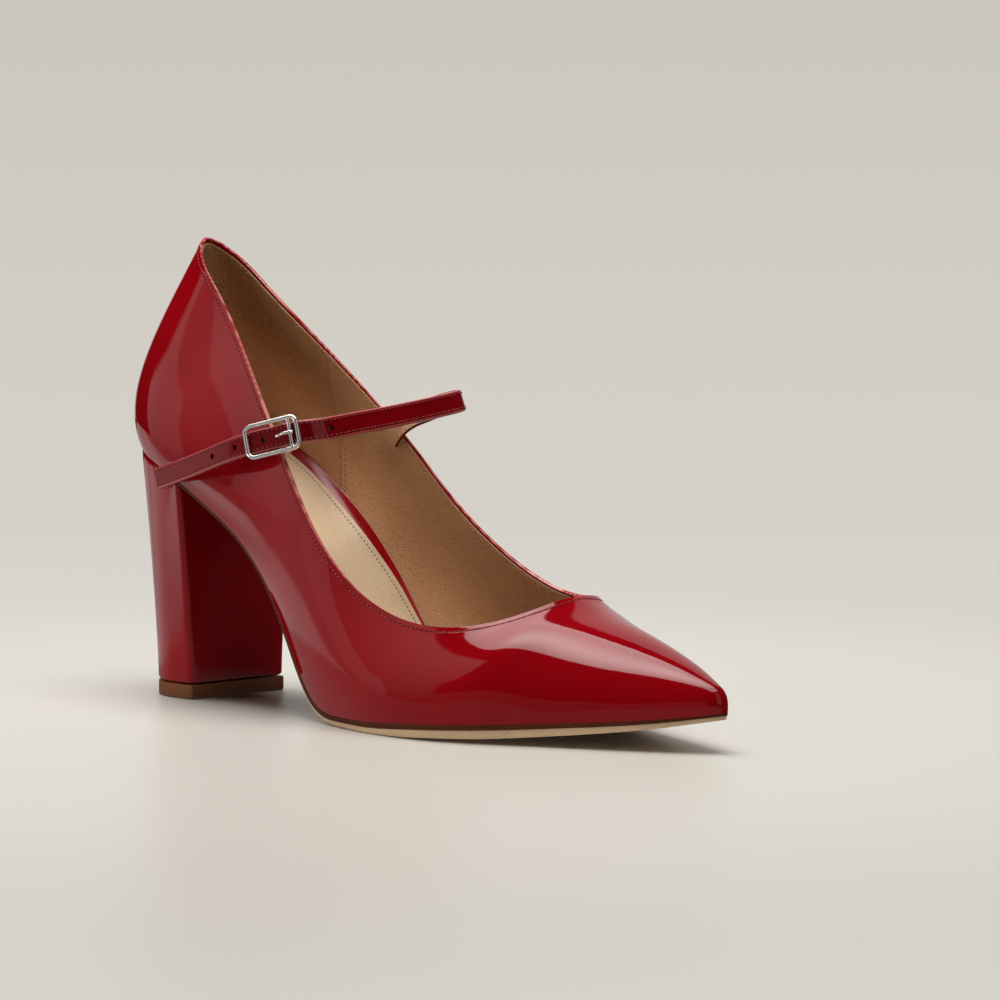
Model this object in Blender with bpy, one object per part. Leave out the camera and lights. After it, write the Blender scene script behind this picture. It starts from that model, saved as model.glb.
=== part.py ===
"""Right shoe of a patent leather Mary Jane pump with a block heel.

Frame: origin at the centre of the heel's ground face, +X to the toe, +Y to the
inner (medial) side, +Z up. The script works in metres. The tables give
millimetres of the base size and angles in degrees, and are graded to the
driving dimensions as they are read.
"""
import math
from collections import namedtuple

import bmesh
import bpy
import numpy as np

MM = 0.001

# ---- driving dimensions ---------------------------------------------------
LAST_LENGTH = 227.5 * MM       # heel curve to toe tip along the feather line
BALL_WIDTH = 72.6 * MM         # feather line, outer ball to inner ball
HEEL_HEIGHT = 76.0 * MM        # floor to feather line at the heel curve
BACK_SEAM_TOP = 137.0 * MM     # floor to the top of the back seam

UPPER_WALL = 1.6 * MM
INSOLE_THICKNESS = 2.4 * MM
SOLE_THICKNESS = 1.5 * MM
FOREPART_INSET = 0.3 * MM
TOP_LIFT_THICKNESS = 4.2 * MM
MEETING_GAP = 0.3 * MM

STRAP_WIDTH = 6.6 * MM
STRAP_THICKNESS = 1.9 * MM
STRAP_TIP_SLANT = 2.2 * MM
STRAP_EDGE_CUT = 0.35 * MM
BUCKLE_LENGTH = 17.6 * MM
BUCKLE_HEIGHT = 10.4 * MM
BUCKLE_CORNER = 2.6 * MM
BUCKLE_WIRE = 1.3 * MM         # diameter
BAR_WIRE = 1.1 * MM            # diameter
PRONG_WIRE = 0.9 * MM          # diameter
INNER_BAR_SETBACK = 2.4 * MM   # from the frame's end to the bar that carries the prong
TAB_BAR_FORWARD = 2.6 * MM     # from the buckle's centre to the bar under the strap
TAB_WIDTH = 3.8 * MM
TAB_THICKNESS = 0.8 * MM
TAB_EDGE_CUT = 0.15 * MM

# ---- the base size that the tables are drawn at ---------------------------
BASE_LENGTH = 227.5 * MM
BASE_BALL_WIDTH = 72.6 * MM
BASE_HEEL_HEIGHT = 76.0 * MM
BASE_BACK_SEAM_TOP = 137.0 * MM
ALONG = LAST_LENGTH / BASE_LENGTH
ACROSS = BALL_WIDTH / BASE_BALL_WIDTH
HEEL_RISE = HEEL_HEIGHT / BASE_HEEL_HEIGHT
TOP_RISE = BACK_SEAM_TOP / BASE_BACK_SEAM_TOP

# Side view of the feather line, where the upper meets the sole: seat, waist,
# flat tread under the ball, toe spring.
#   x      z
BOTTOM_PROFILE = (
    (-21.5, 76.0),
    (-6.0, 72.4),
    (14.0, 65.6),
    (31.0, 56.2),
    (47.0, 43.5),
    (60.0, 27.0),
    (70.0, 12.7),
    (79.0, 5.0),
    (90.0, 3.0),
    (105.0, 3.0),
    (121.0, 3.9),
    (145.0, 5.2),
    (170.0, 6.9),
    (190.0, 8.6),
    (206.0, 10.8),
)

# One row for each rib of the last, from the back seam to the side of the
# throat. A rib leaves the feather line leaning outwards by foot_lean and
# reaches the topline leaning inwards by top_lean, both from the vertical.
QuarterRib = namedtuple("QuarterRib", "foot_x foot_y foot_lean top_x top_y top_z top_lean")
BACK_SEAM = QuarterRib(-21.5, 0.0, 28, 0.4, 0.0, 137.0, 30)
#   foot_x foot_y foot_lean  top_x top_y top_z top_lean
OUTER_QUARTER = (
    (-14.2, -13.6, 28, 4.0, -6.0, 133.6, 24),
    (2.0, -22.2, 23, 16.0, -10.6, 122.3, 14),
    (20.0, -24.2, 18, 31.5, -15.2, 107.5, 10),
    (40.0, -23.0, 16, 48.0, -21.4, 90.6, 6),
    (58.0, -23.8, 14, 62.0, -26.0, 75.8, 2),
    (74.0, -27.0, 14, 76.0, -29.2, 59.0, 2),
    (92.0, -31.8, 16, 94.0, -30.8, 42.4, 12),
    (111.0, -35.0, 18, 113.0, -29.0, 32.6, 26),
    (128.0, -34.6, 18, 130.0, -24.2, 30.4, 44),
    (141.0, -30.8, 18, 142.5, -13.0, 33.4, 66),
)
INNER_QUARTER = (
    (-14.2, 13.6, 28, 4.0, 6.0, 133.6, 24),
    (2.0, 21.8, 23, 16.0, 10.6, 122.6, 14),
    (20.0, 23.0, 18, 31.5, 14.8, 108.5, 10),
    (40.0, 20.4, 16, 48.0, 20.8, 92.0, 4),
    (58.0, 19.8, 16, 62.0, 25.6, 77.0, 0),
    (74.0, 23.4, 16, 76.0, 29.2, 61.2, 2),
    (92.0, 31.4, 16, 94.0, 31.0, 47.4, 10),
    (111.0, 37.0, 16, 112.0, 30.0, 39.3, 22),
    (128.0, 37.6, 16, 129.0, 27.0, 36.2, 40),
    (142.0, 33.8, 16, 141.5, 19.5, 36.6, 64),
)

# One row for each pair of ribs of the vamp. Both ribs of a pair meet on the
# ridge at ridge_x, level across it.
VampRib = namedtuple("VampRib", "outer_x outer_y inner_x inner_y foot_lean ridge_x")
VAMP = (
    (155.0, -24.7, 155.5, 27.6, 16, 147.6),
    (169.0, -18.2, 169.5, 21.4, 14, 163.0),
    (183.0, -11.3, 183.5, 15.6, 12, 178.0),
    (195.0, -5.0, 195.5, 10.6, 10, 191.0),
    (202.0, -0.7, 202.2, 7.4, 7, 197.6),
    (205.2, 1.8, 205.2, 5.8, 5, 199.8),
)
TOE_TIP = VampRib(206.0, 3.9, 206.0, 3.9, 4, 200.2)

# Ridge of the vamp from the throat to the toe.
#   x      y    z
RIDGE = (
    (147.6, 7.6, 38.2),
    (163.0, 7.0, 31.8),
    (178.0, 6.0, 27.2),
    (191.0, 4.8, 23.1),
    (200.2, 3.9, 19.3),
)
LEVEL_LEAN = 90                # top_lean of a rib that ends level
LEVELLING_START = 40           # top_lean past which a rib turns to face its foot
FOOT_FULLNESS = 1.06           # a rib's swell near its foot and its top, 1 for an ellipse
TOP_FULLNESS = 1.02
RIB_STEPS = 4                  # ribs from one table row to the next
RIB_RISERS = 12                # faces up each rib

# Thickness of the light tread layer under the forepart.
#   x      thickness
FOREPART_LAYER = (
    (72.0, 0.5),
    (92.0, 0.9),
    (105.0, 0.9),
    (145.0, 1.3),
    (165.0, 1.5),
    (190.0, 0.8),
    (206.0, 0.5),
)

# Block heel: D-shaped, its flat breast towards the toe.
HEEL_BREAST_X = 14.0 * MM
HEEL_BASE_DEPTH = 27.0 * MM
HEEL_BASE_HALF_WIDTH = 18.5 * MM
HEEL_FLARE_POWER = 1.3
HEEL_LEVELS = 8
HEEL_OUTLINE_STEPS = 28

# Centre line of the strap, from inside the inner quarter, over the fold and
# the instep, through the buckle and along the outer quarter to its tip.
# The last three columns point across the strap's width.
#   x     y      z      across_x across_y across_z
STRAP_ROUTE = (
    (57.4, 21.0, 77.2, -0.64, -0.2, 0.74),
    (59.5, 21.5, 80.4, -0.64, -0.2, 0.74),
    (61.2, 24.5, 83.3, -0.62, -0.2, 0.76),
    (62.1, 31.5, 85.6, -0.6, -0.2, 0.8),
    (63.0, 39.4, 87.8, -0.5, -0.15, 0.85),
    (65.4, 42.4, 88.6, -0.4, 0.0, 0.9),
    (67.6, 39.6, 88.5, -0.4, 0.0, 0.9),
    (69.6, 31.0, 87.6, -0.4, 0.0, 0.9),
    (71.2, 16.0, 86.0, -0.4, 0.0, 0.9),
    (71.9, 2.0, 84.6, -0.4, 0.0, 0.9),
    (71.8, -10.0, 83.4, -0.35, 0.0, 0.9),
    (70.4, -19.0, 82.4, -0.25, 0.1, 0.95),
    (66.6, -23.6, 81.7, -0.15, 0.1, 1.0),
    (60.5, -26.8, 80.1, -0.1, 0.1, 1.0),
    (54.2, -29.7, 78.4, -0.1, 0.1, 1.0),
    (46.5, -31.0, 76.2, 0.0, 0.1, 1.0),
    (34.0, -30.6, 72.4, 0.0, 0.1, 1.0),
    (21.0, -29.2, 68.8, 0.0, 0.1, 1.0),
    (9.6, -27.4, 66.0, 0.0, 0.1, 1.0),
)
BUCKLE_ROW = 13                # row of STRAP_ROUTE at the buckle's centre

# Leg of the tab, along the outer quarter to the loop round its bar, seen
# from above the strap.
#   forward outward
TAB_LEG = (
    (-16.5, -9.5),
    (-12.5, -7.8),
    (-8.5, -5.65),
    (-5.0, -3.5),
    (-2.0, -1.74),
    (0.4, -1.61),
)
TAB_RISE = 1.0 * MM            # the tab lies this far above the strap's middle

# Prong from the foot of its hook to its tip: how far behind the inner bar,
# and how far out from the strap's face.
#   behind outward
PRONG_SHAFT = (
    (1.9, 2.3),
    (3.4, 1.25),
    (4.6, 0.75),
)

# Steps between the rings of swept pieces, and round the corners of wires.
STRAP_RING_STEP = 2.2 * MM
TAB_RING_STEP = 0.7 * MM
PRONG_RING_STEP = 0.5 * MM
CORNER_STEPS = 3
FRAME_SIDES = 10
WIRE_SIDES = 8
MERGE_DISTANCE = 0.002 * MM

# Looks: name, base colour, roughness, metallic.
RED_PATENT = ("red_patent", (0.30, 0.008, 0.014), 0.12, 0.0)
HEEL_COVER = ("heel_cover", (0.30, 0.008, 0.014), 0.12, 0.0)
STRAP_PATENT = ("strap_patent", (0.30, 0.008, 0.014), 0.12, 0.0)
SOCK_LEATHER = ("sock_leather", (0.62, 0.46, 0.30), 0.60, 0.0)
DARK_EDGE = ("dark_edge", (0.07, 0.025, 0.012), 0.45, 0.0)
LIGHT_LEATHER = ("light_leather", (0.60, 0.44, 0.27), 0.60, 0.0)
LIFT_RUBBER = ("lift_rubber", (0.16, 0.08, 0.03), 0.55, 0.0)
SILVER_METAL = ("silver_metal", (0.75, 0.73, 0.70), 0.18, 1.0)


# ---- curves ---------------------------------------------------------------
def hermite(knots, values, slopes, where, derivative=False):
    """Values, or derivatives, of the cubic through values with the given slopes."""
    where = np.atleast_1d(np.asarray(where, float))
    left = np.clip(np.searchsorted(knots, where, side="right") - 1, 0, len(knots) - 2)
    span = (knots[left + 1] - knots[left])[:, None]
    u = (where - knots[left])[:, None] / span
    a, b = values[left], values[left + 1]
    slope_a, slope_b = slopes[left] * span, slopes[left + 1] * span
    if derivative:
        rate = (6 * u * u - 6 * u) * (a - b)
        rate += (3 * u * u - 4 * u + 1) * slope_a + (3 * u * u - 2 * u) * slope_b
        return rate / span
    return ((2 * u ** 3 - 3 * u * u + 1) * a + (u ** 3 - 2 * u * u + u) * slope_a
            + (3 * u * u - 2 * u ** 3) * b + (u ** 3 - u * u) * slope_b)


class Spline:
    """Smooth cubic through rows of values, open with free ends, or closed."""

    def __init__(self, rows, knots=None, closed=False):
        values = np.asarray(rows, float)
        if closed:
            values = np.vstack([values, values[:1]])
        if knots is None:
            chords = np.linalg.norm(np.diff(values, axis=0), axis=1)
            knots = np.concatenate([[0.0], np.cumsum(chords)])
        self.knots = np.asarray(knots, float)
        self.values = values
        self.slopes = self._smooth_slopes(closed)

    def _smooth_slopes(self, closed):
        steps = np.diff(self.knots)
        rates = np.diff(self.values, axis=0) / steps[:, None]
        count = len(self.knots)
        matrix = np.zeros((count, count))
        right_side = np.zeros_like(self.values)
        for row in range(1, count - 1):
            before, after = steps[row - 1], steps[row]
            matrix[row, row - 1:row + 2] = after, 2 * (before + after), before
            right_side[row] = 3 * (after * rates[row - 1] + before * rates[row])
        if closed:
            before, after = steps[-1], steps[0]
            matrix[0, -2], matrix[0, 0], matrix[0, 1] = after, 2 * (before + after), before
            right_side[0] = 3 * (after * rates[-1] + before * rates[0])
            matrix[-1, 0], matrix[-1, -1] = 1, -1
        else:
            matrix[0, :2] = 2, 1
            right_side[0] = 3 * rates[0]
            matrix[-1, -2:] = 1, 2
            right_side[-1] = 3 * rates[-1]
        return np.linalg.solve(matrix, right_side)

    def at(self, where):
        return hermite(self.knots, self.values, self.slopes, where)

    def rate(self, where):
        return hermite(self.knots, self.values, self.slopes, where, derivative=True)


def unit(vectors):
    vectors = np.asarray(vectors, float)
    return vectors / np.linalg.norm(vectors, axis=-1, keepdims=True)


def eased(share):
    share = np.clip(share, 0.0, 1.0)
    return share * share * (3 - 2 * share)


# ---- the last: feather line, topline, ridge and ribs ----------------------
def graded_profile(rows, rise):
    """Spline of the second column over the first, in metres."""
    rows = np.asarray(rows, float) * MM
    return Spline(rows[:, 1:] * rise, knots=rows[:, 0] * ALONG)


BOTTOM = graded_profile(BOTTOM_PROFILE, HEEL_RISE)
TREAD_HEIGHT = 3.0 * MM        # feather line over the flat of the forepart


def bottom_height(x):
    """Height of the last's bottom, level where the forepart treads."""
    return max(BOTTOM.at(x)[0, 0], TREAD_HEIGHT)


def bottom_slope(x):
    return BOTTOM.rate(x)[0, 0] if BOTTOM.at(x)[0, 0] > TREAD_HEIGHT else 0.0


def forepart_thickness(x):
    rows = np.asarray(FOREPART_LAYER) * MM
    return np.interp(x, rows[:, 0] * ALONG, rows[:, 1])


def graded_quarter(rows):
    grade_x, grade_y, grade_z = ALONG * MM, ACROSS * MM, TOP_RISE * MM
    for row in map(QuarterRib._make, rows):
        yield QuarterRib(row.foot_x * grade_x, row.foot_y * grade_y, row.foot_lean,
                         row.top_x * grade_x, row.top_y * grade_y, row.top_z * grade_z,
                         row.top_lean)


def graded_vamp(rows):
    grade_x, grade_y = ALONG * MM, ACROSS * MM
    for row in map(VampRib._make, rows):
        yield VampRib(row.outer_x * grade_x, row.outer_y * grade_y, row.inner_x * grade_x,
                      row.inner_y * grade_y, row.foot_lean, row.ridge_x * grade_x)


def arc_handle(turn):
    """Length of an arc's handles, as a share of the arc's run along each of them."""
    turn = min(turn, math.pi / 2)
    return 4 / 3 * math.tan(turn / 4) / math.sin(turn)


class Last:
    """The last as ribs, in one ring: inner toe, inner side, back seam, outer side, toe."""

    def __init__(self):
        back = list(graded_quarter([BACK_SEAM]))
        outer = list(graded_quarter(OUTER_QUARTER))
        inner = list(graded_quarter(INNER_QUARTER))
        vamp = list(graded_vamp(VAMP))
        tip = next(graded_vamp([TOE_TIP]))
        quarters = inner[::-1] + back + outer
        self.vamp_rows = len(vamp)
        self.quarter_rows = len(quarters)

        foot = [(tip.outer_x, tip.outer_y)]
        foot += [(row.inner_x, row.inner_y) for row in vamp[::-1]]
        foot += [(row.foot_x, row.foot_y) for row in quarters]
        foot += [(row.outer_x, row.outer_y) for row in vamp]
        self.feather = Spline(foot, closed=True)

        ridge = np.asarray(RIDGE, float) * MM * (ALONG, ACROSS, TOP_RISE)
        self.ridge = Spline(ridge[:, 1:], knots=ridge[:, 0])
        throat = (vamp[0].ridge_x, *self.ridge.at(vamp[0].ridge_x)[0])
        top = [throat] + [(row.top_x, row.top_y, row.top_z) for row in quarters]
        self.topline = Spline(top, closed=True)
        self.throat_x = throat[0]

        vamp_leans = [(row.foot_lean, LEVEL_LEAN) for row in vamp]
        tip_leans = (tip.foot_lean, LEVEL_LEAN)
        leans = [tip_leans, *vamp_leans[::-1], *((row.foot_lean, row.top_lean) for row in quarters),
                 *vamp_leans, tip_leans]
        self.row_count = len(leans) - 1
        self.leans = Spline(leans, knots=np.arange(len(leans)))
        vamp_ridge = [row.ridge_x for row in vamp]
        self.ridge_x = [tip.ridge_x, *vamp_ridge[::-1], *[None] * len(quarters),
                        *vamp_ridge, tip.ridge_x]

    def foot_at(self, row, share):
        """Point of the feather line, and its outward direction in plan."""
        where = self.feather.knots[row] * (1 - share) + self.feather.knots[row + 1] * share
        point = self.feather.at(where)[0]
        run = self.feather.rate(where)[0]
        outward = unit((run[1], -run[0]))
        return np.array((*point, bottom_height(point[0]))), outward

    def top_at(self, row, share):
        """Point where a rib ends, and the topline's outward direction, if it ends there."""
        vamp, quarter = self.vamp_rows, self.quarter_rows
        if row < vamp or row > vamp + quarter:
            x = self.ridge_x[row] * (1 - share) + self.ridge_x[row + 1] * share
            return np.array((x, *self.ridge.at(x)[0])), None
        knots = self.topline.knots
        where = knots[row - vamp] * (1 - share) + knots[row - vamp + 1] * share
        run = self.topline.rate(where)[0]
        return self.topline.at(where)[0], unit((run[1], -run[0]))

    def rib(self, row, share, risers):
        """Points up one rib, from the feather line to the topline or the ridge."""
        foot, outward = self.foot_at(row, share)
        top, top_outward = self.top_at(row, share)
        foot_lean, top_lean = np.clip(self.leans.at(row + share)[0], 0, LEVEL_LEAN)
        level = eased((top_lean - LEVELLING_START) / (LEVEL_LEAN - LEVELLING_START))
        to_foot = unit(foot[:2] - top[:2])
        if top_outward is not None:
            to_foot = unit((1 - level) * top_outward + level * to_foot)
        ridge_fall = self.ridge.rate(max(top[0], self.throat_x))[0, 1]
        foot_lean, top_lean = math.radians(foot_lean), math.radians(top_lean)
        leave = np.array((*(outward * math.sin(foot_lean)), math.cos(foot_lean)))
        drop = ridge_fall * to_foot[0] * level - math.cos(top_lean)
        arrive = unit((*(to_foot * math.sin(top_lean)), drop))
        share = arc_handle(foot_lean + top_lean)
        near_foot = foot + leave * np.dot(top - foot, leave) * share * FOOT_FULLNESS
        near_top = top + arrive * np.dot(foot - top, arrive) * share * TOP_FULLNESS
        u = np.linspace(0.0, 1.0, risers + 1)[:, None]
        return ((1 - u) ** 3 * foot + 3 * u * (1 - u) ** 2 * near_foot
                + 3 * u * u * (1 - u) * near_top + u ** 3 * top)

    def surface(self, steps, risers):
        """Grid of points: every rib of the ring, by every riser."""
        ribs = [self.rib(row, step / steps, risers)
                for row in range(self.row_count) for step in range(steps)]
        ribs.append(self.rib(self.row_count - 1, 1.0, risers))
        return np.array(ribs)

    def outline(self, inset, steps):
        """Inner and outer sides of the feather line, moved in, as pairs from heel to toe."""
        half = self.row_count // 2 * steps
        pairs = []
        for count in range(half + 1):
            sides = []
            for place in (half - count, half + count):
                row = min(place // steps, self.row_count - 1)
                point, outward = self.foot_at(row, place / steps - row)
                sides.append(point[:2] - outward * inset)
            pairs.append(sides)
        return np.array(pairs)


def under_last(x, y, depth):
    """Point straight under the last's bottom at x, y, as far as gives this depth square to it."""
    return (x, y, bottom_height(x) - depth * math.hypot(1.0, bottom_slope(x)))


# ---- meshes ---------------------------------------------------------------
def material(look):
    name, colour, roughness, metallic = look
    found = bpy.data.materials.get(name)
    if found:
        return found
    made = bpy.data.materials.new(name)
    made.use_nodes = True
    shader = made.node_tree.nodes["Principled BSDF"]
    shader.inputs["Base Color"].default_value = (*colour, 1.0)
    shader.inputs["Roughness"].default_value = roughness
    shader.inputs["Metallic"].default_value = metallic
    return made


def piece(name, bm, look, smooth_angle=40):
    """Object made from a bmesh, with its doubles merged."""
    bmesh.ops.remove_doubles(bm, verts=bm.verts, dist=MERGE_DISTANCE)
    mesh = bpy.data.meshes.new(name)
    bm.to_mesh(mesh)
    bm.free()
    mesh.materials.append(material(look))
    mesh.shade_smooth()
    mesh.set_sharp_from_angle(angle=math.radians(smooth_angle))
    made = bpy.data.objects.new(name, mesh)
    bpy.context.scene.collection.objects.link(made)
    return made


def skin(bm, rings, closed_rings, closed_run=False):
    """Faces between rings of points. Gives back the rings of vertices."""
    made = [[bm.verts.new(point) for point in ring] for ring in rings]
    runs = list(zip(made, made[1:]))
    if closed_run:
        runs.append((made[-1], made[0]))
    for ring, following in runs:
        for side in range(len(ring) if closed_rings else len(ring) - 1):
            beside = (side + 1) % len(ring)
            bm.faces.new((ring[side], following[side], following[beside], ring[beside]))
    return made


def solid(name, rings, look, closed_run=False):
    """Closed body through rings of points, with a flat face at each end."""
    bm = bmesh.new()
    made = skin(bm, rings, closed_rings=True, closed_run=closed_run)
    if not closed_run:
        bm.faces.new(made[0])
        bm.faces.new(made[-1])
    bmesh.ops.recalc_face_normals(bm, faces=bm.faces)
    return piece(name, bm, look)


# ---- upper ----------------------------------------------------------------
def build_upper(last):
    """One shell in patent leather, open at the topline and underneath."""
    bm = bmesh.new()
    skin(bm, last.surface(RIB_STEPS, RIB_RISERS), closed_rings=False)
    upper = piece("upper", bm, RED_PATENT)
    wall = upper.modifiers.new("wall", "SOLIDIFY")
    wall.thickness = UPPER_WALL
    wall.offset = -1.0
    return upper


# ---- insole and sole layers -----------------------------------------------
def build_layer(last, name, look, inset, depth, thickness, start_x, crosswise=2):
    """Sheet that follows the last's bottom, from start_x to the toe."""
    pairs = last.outline(inset, RIB_STEPS)
    inner, outer = pairs[:, 0], pairs[:, 1]
    stations = outer[outer[:, 0] > start_x + MM, 0]
    stations = [max(start_x, outer[0, 0]), *stations]
    shares = np.linspace(0.0, 1.0, crosswise + 1)
    rings = []
    for x in stations:
        from_y = np.interp(x, outer[:, 0], outer[:, 1])
        to_y = np.interp(x, inner[:, 0], inner[:, 1])
        ys = from_y + (to_y - from_y) * shares
        under = [under_last(x, y, depth + thickness(x)) for y in ys]
        over = [under_last(x, y, depth) for y in ys[::-1]]
        rings.append(under + over)
    bm = bmesh.new()
    made = skin(bm, rings, closed_rings=True)
    for ring in (made[0], made[-1]):
        if (ring[0].co - ring[crosswise].co).length > MM:
            bm.faces.new(ring)
    bmesh.ops.remove_doubles(bm, verts=bm.verts, dist=MERGE_DISTANCE)
    bmesh.ops.recalc_face_normals(bm, faces=bm.faces)
    return piece(name, bm, look)


def build_bottom(last):
    """Insole inside the upper, and the two layers of the sole under it."""
    build_layer(last, "insole", SOCK_LEATHER, inset=UPPER_WALL + MEETING_GAP,
                depth=-INSOLE_THICKNESS, thickness=lambda x: INSOLE_THICKNESS,
                start_x=-LAST_LENGTH)
    build_layer(last, "sole", DARK_EDGE, inset=0.0, depth=MEETING_GAP,
                thickness=lambda x: SOLE_THICKNESS, start_x=HEEL_BREAST_X + MEETING_GAP)
    build_layer(last, "forepart_sole", LIGHT_LEATHER, inset=FOREPART_INSET,
                depth=2 * MEETING_GAP + SOLE_THICKNESS,
                thickness=forepart_thickness,
                start_x=FOREPART_LAYER[0][0] * MM * ALONG)


# ---- heel -----------------------------------------------------------------
def evenly(points, count):
    """Points at equal steps along a line of points."""
    lengths = np.concatenate([[0.0], np.cumsum(np.linalg.norm(np.diff(points, axis=0), axis=1))])
    where = np.linspace(0.0, lengths[-1], count + 1)
    return np.stack([np.interp(where, lengths, column) for column in points.T], axis=1)


def heel_base_outline():
    """D shape in plan, from the outer corner of the breast round to the inner one."""
    round_x = HEEL_BREAST_X - HEEL_BASE_DEPTH + HEEL_BASE_HALF_WIDTH
    angles = np.radians(np.linspace(-90.0, -270.0, 60))
    back = np.stack([round_x + HEEL_BASE_HALF_WIDTH * np.cos(angles),
                     HEEL_BASE_HALF_WIDTH * np.sin(angles)], axis=1)
    corners = ((HEEL_BREAST_X, -HEEL_BASE_HALF_WIDTH), (HEEL_BREAST_X, HEEL_BASE_HALF_WIDTH))
    return evenly(np.array([corners[0], *back, corners[1]]), HEEL_OUTLINE_STEPS)


def heel_seat_outline(last):
    """Feather line behind the breast, from its outer corner round to the inner one."""
    pairs = last.outline(0.0, 2 * RIB_STEPS)
    sides = []
    for side in (1, 0):
        line = pairs[:, side]
        behind = line[line[:, 0] < HEEL_BREAST_X]
        corner_y = np.interp(HEEL_BREAST_X, line[:, 0], line[:, 1])
        sides.append(np.array([*behind, (HEEL_BREAST_X, corner_y)]))
    outer, inner = sides
    return evenly(np.array([*outer[::-1], *inner[1:]]), HEEL_OUTLINE_STEPS)


def build_heel(last):
    """Covered block, flared from the top lift to the seat, and the lift under it."""
    base = heel_base_outline()
    seat = heel_seat_outline(last)
    seat_height = np.array([under_last(x, y, MEETING_GAP)[2] for x, y in seat])
    foot_height = TOP_LIFT_THICKNESS + MEETING_GAP
    rings = []
    for level in np.linspace(0.0, 1.0, HEEL_LEVELS + 1):
        plan = base + (seat - base) * level ** HEEL_FLARE_POWER
        height = foot_height + (seat_height - foot_height) * level
        rings.append(np.column_stack([plan, height]))
    bm = bmesh.new()
    made = skin(bm, rings, closed_rings=True)
    bm.faces.new(made[0])
    top = made[-1]
    for place in range(len(top) // 2):
        ring = [top[place], top[place + 1], top[-2 - place], top[-1 - place]]
        unlike = list(dict.fromkeys(ring))
        if len(unlike) > 2:
            bm.faces.new(unlike)
    bmesh.ops.recalc_face_normals(bm, faces=bm.faces)
    piece("heel_block", bm, HEEL_COVER)
    lift = [np.column_stack([base, np.full(len(base), height)])
            for height in (0.0, TOP_LIFT_THICKNESS)]
    solid("top_lift", lift, LIFT_RUBBER)


# ---- strap, buckle, prong and tab -----------------------------------------
class Route:
    """Path with a direction across it at each point."""

    def __init__(self, points, across, spacing, closed=False):
        line = Spline(points, closed=closed)
        if closed:
            across = np.vstack([across, across[:1]])
        turns = Spline(across, knots=line.knots)
        count = max(2, round(line.knots[-1] / spacing))
        where = np.linspace(0.0, line.knots[-1], count + 1)
        if closed:
            where = where[:-1]
        self.points = line.at(where)
        self.tangents = unit(line.rate(where))
        across = turns.at(where)
        along = np.sum(across * self.tangents, axis=1, keepdims=True)
        self.across = unit(across - along * self.tangents)
        self.outward = np.cross(self.across, self.tangents)

    def rings(self, section):
        """The section's (across, outward) points set at every point of the path."""
        return [point + section[:, :1] * across + section[:, 1:] * outward
                for point, across, outward in zip(self.points, self.across, self.outward)]


def band_section(width, thickness, corner):
    """Flat band with cut corners."""
    a, b = width / 2, thickness / 2
    return np.array(((-a, -b + corner), (-a + corner, -b), (a - corner, -b), (a, -b + corner),
                     (a, b - corner), (a - corner, b), (-a + corner, b), (-a, b - corner)))


def wire_section(diameter, sides):
    angles = np.arange(sides) * 2 * math.pi / sides
    return np.stack([np.cos(angles), np.sin(angles)], axis=1) * diameter / 2


class BucklePlace:
    """Centre of the strap at the buckle, with the strap's own directions there."""

    def __init__(self):
        rows = np.array(STRAP_ROUTE)
        line = Spline(rows[:, :3] * MM)
        knot = line.knots[BUCKLE_ROW]
        self.centre = line.at(knot)[0]
        self.forward = -unit(line.rate(knot)[0])
        across = rows[BUCKLE_ROW, 3:]
        self.up = unit(across - np.dot(across, self.forward) * self.forward)
        self.outward = np.cross(self.forward, self.up)

    def point(self, forward, up, outward):
        return self.centre + self.forward * forward + self.up * up + self.outward * outward


def build_strap():
    rows = np.array(STRAP_ROUTE)
    route = Route(rows[:, :3] * MM, rows[:, 3:], spacing=STRAP_RING_STEP)
    section = band_section(STRAP_WIDTH, STRAP_THICKNESS, STRAP_EDGE_CUT)
    rings = route.rings(section)
    slant = section[:, :1] / STRAP_WIDTH * STRAP_TIP_SLANT * route.tangents[-1]
    rings[-1] = rings[-1] + slant
    rings[-2] = rings[-2] + slant / 2
    return solid("strap", rings, STRAP_PATENT)


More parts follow.
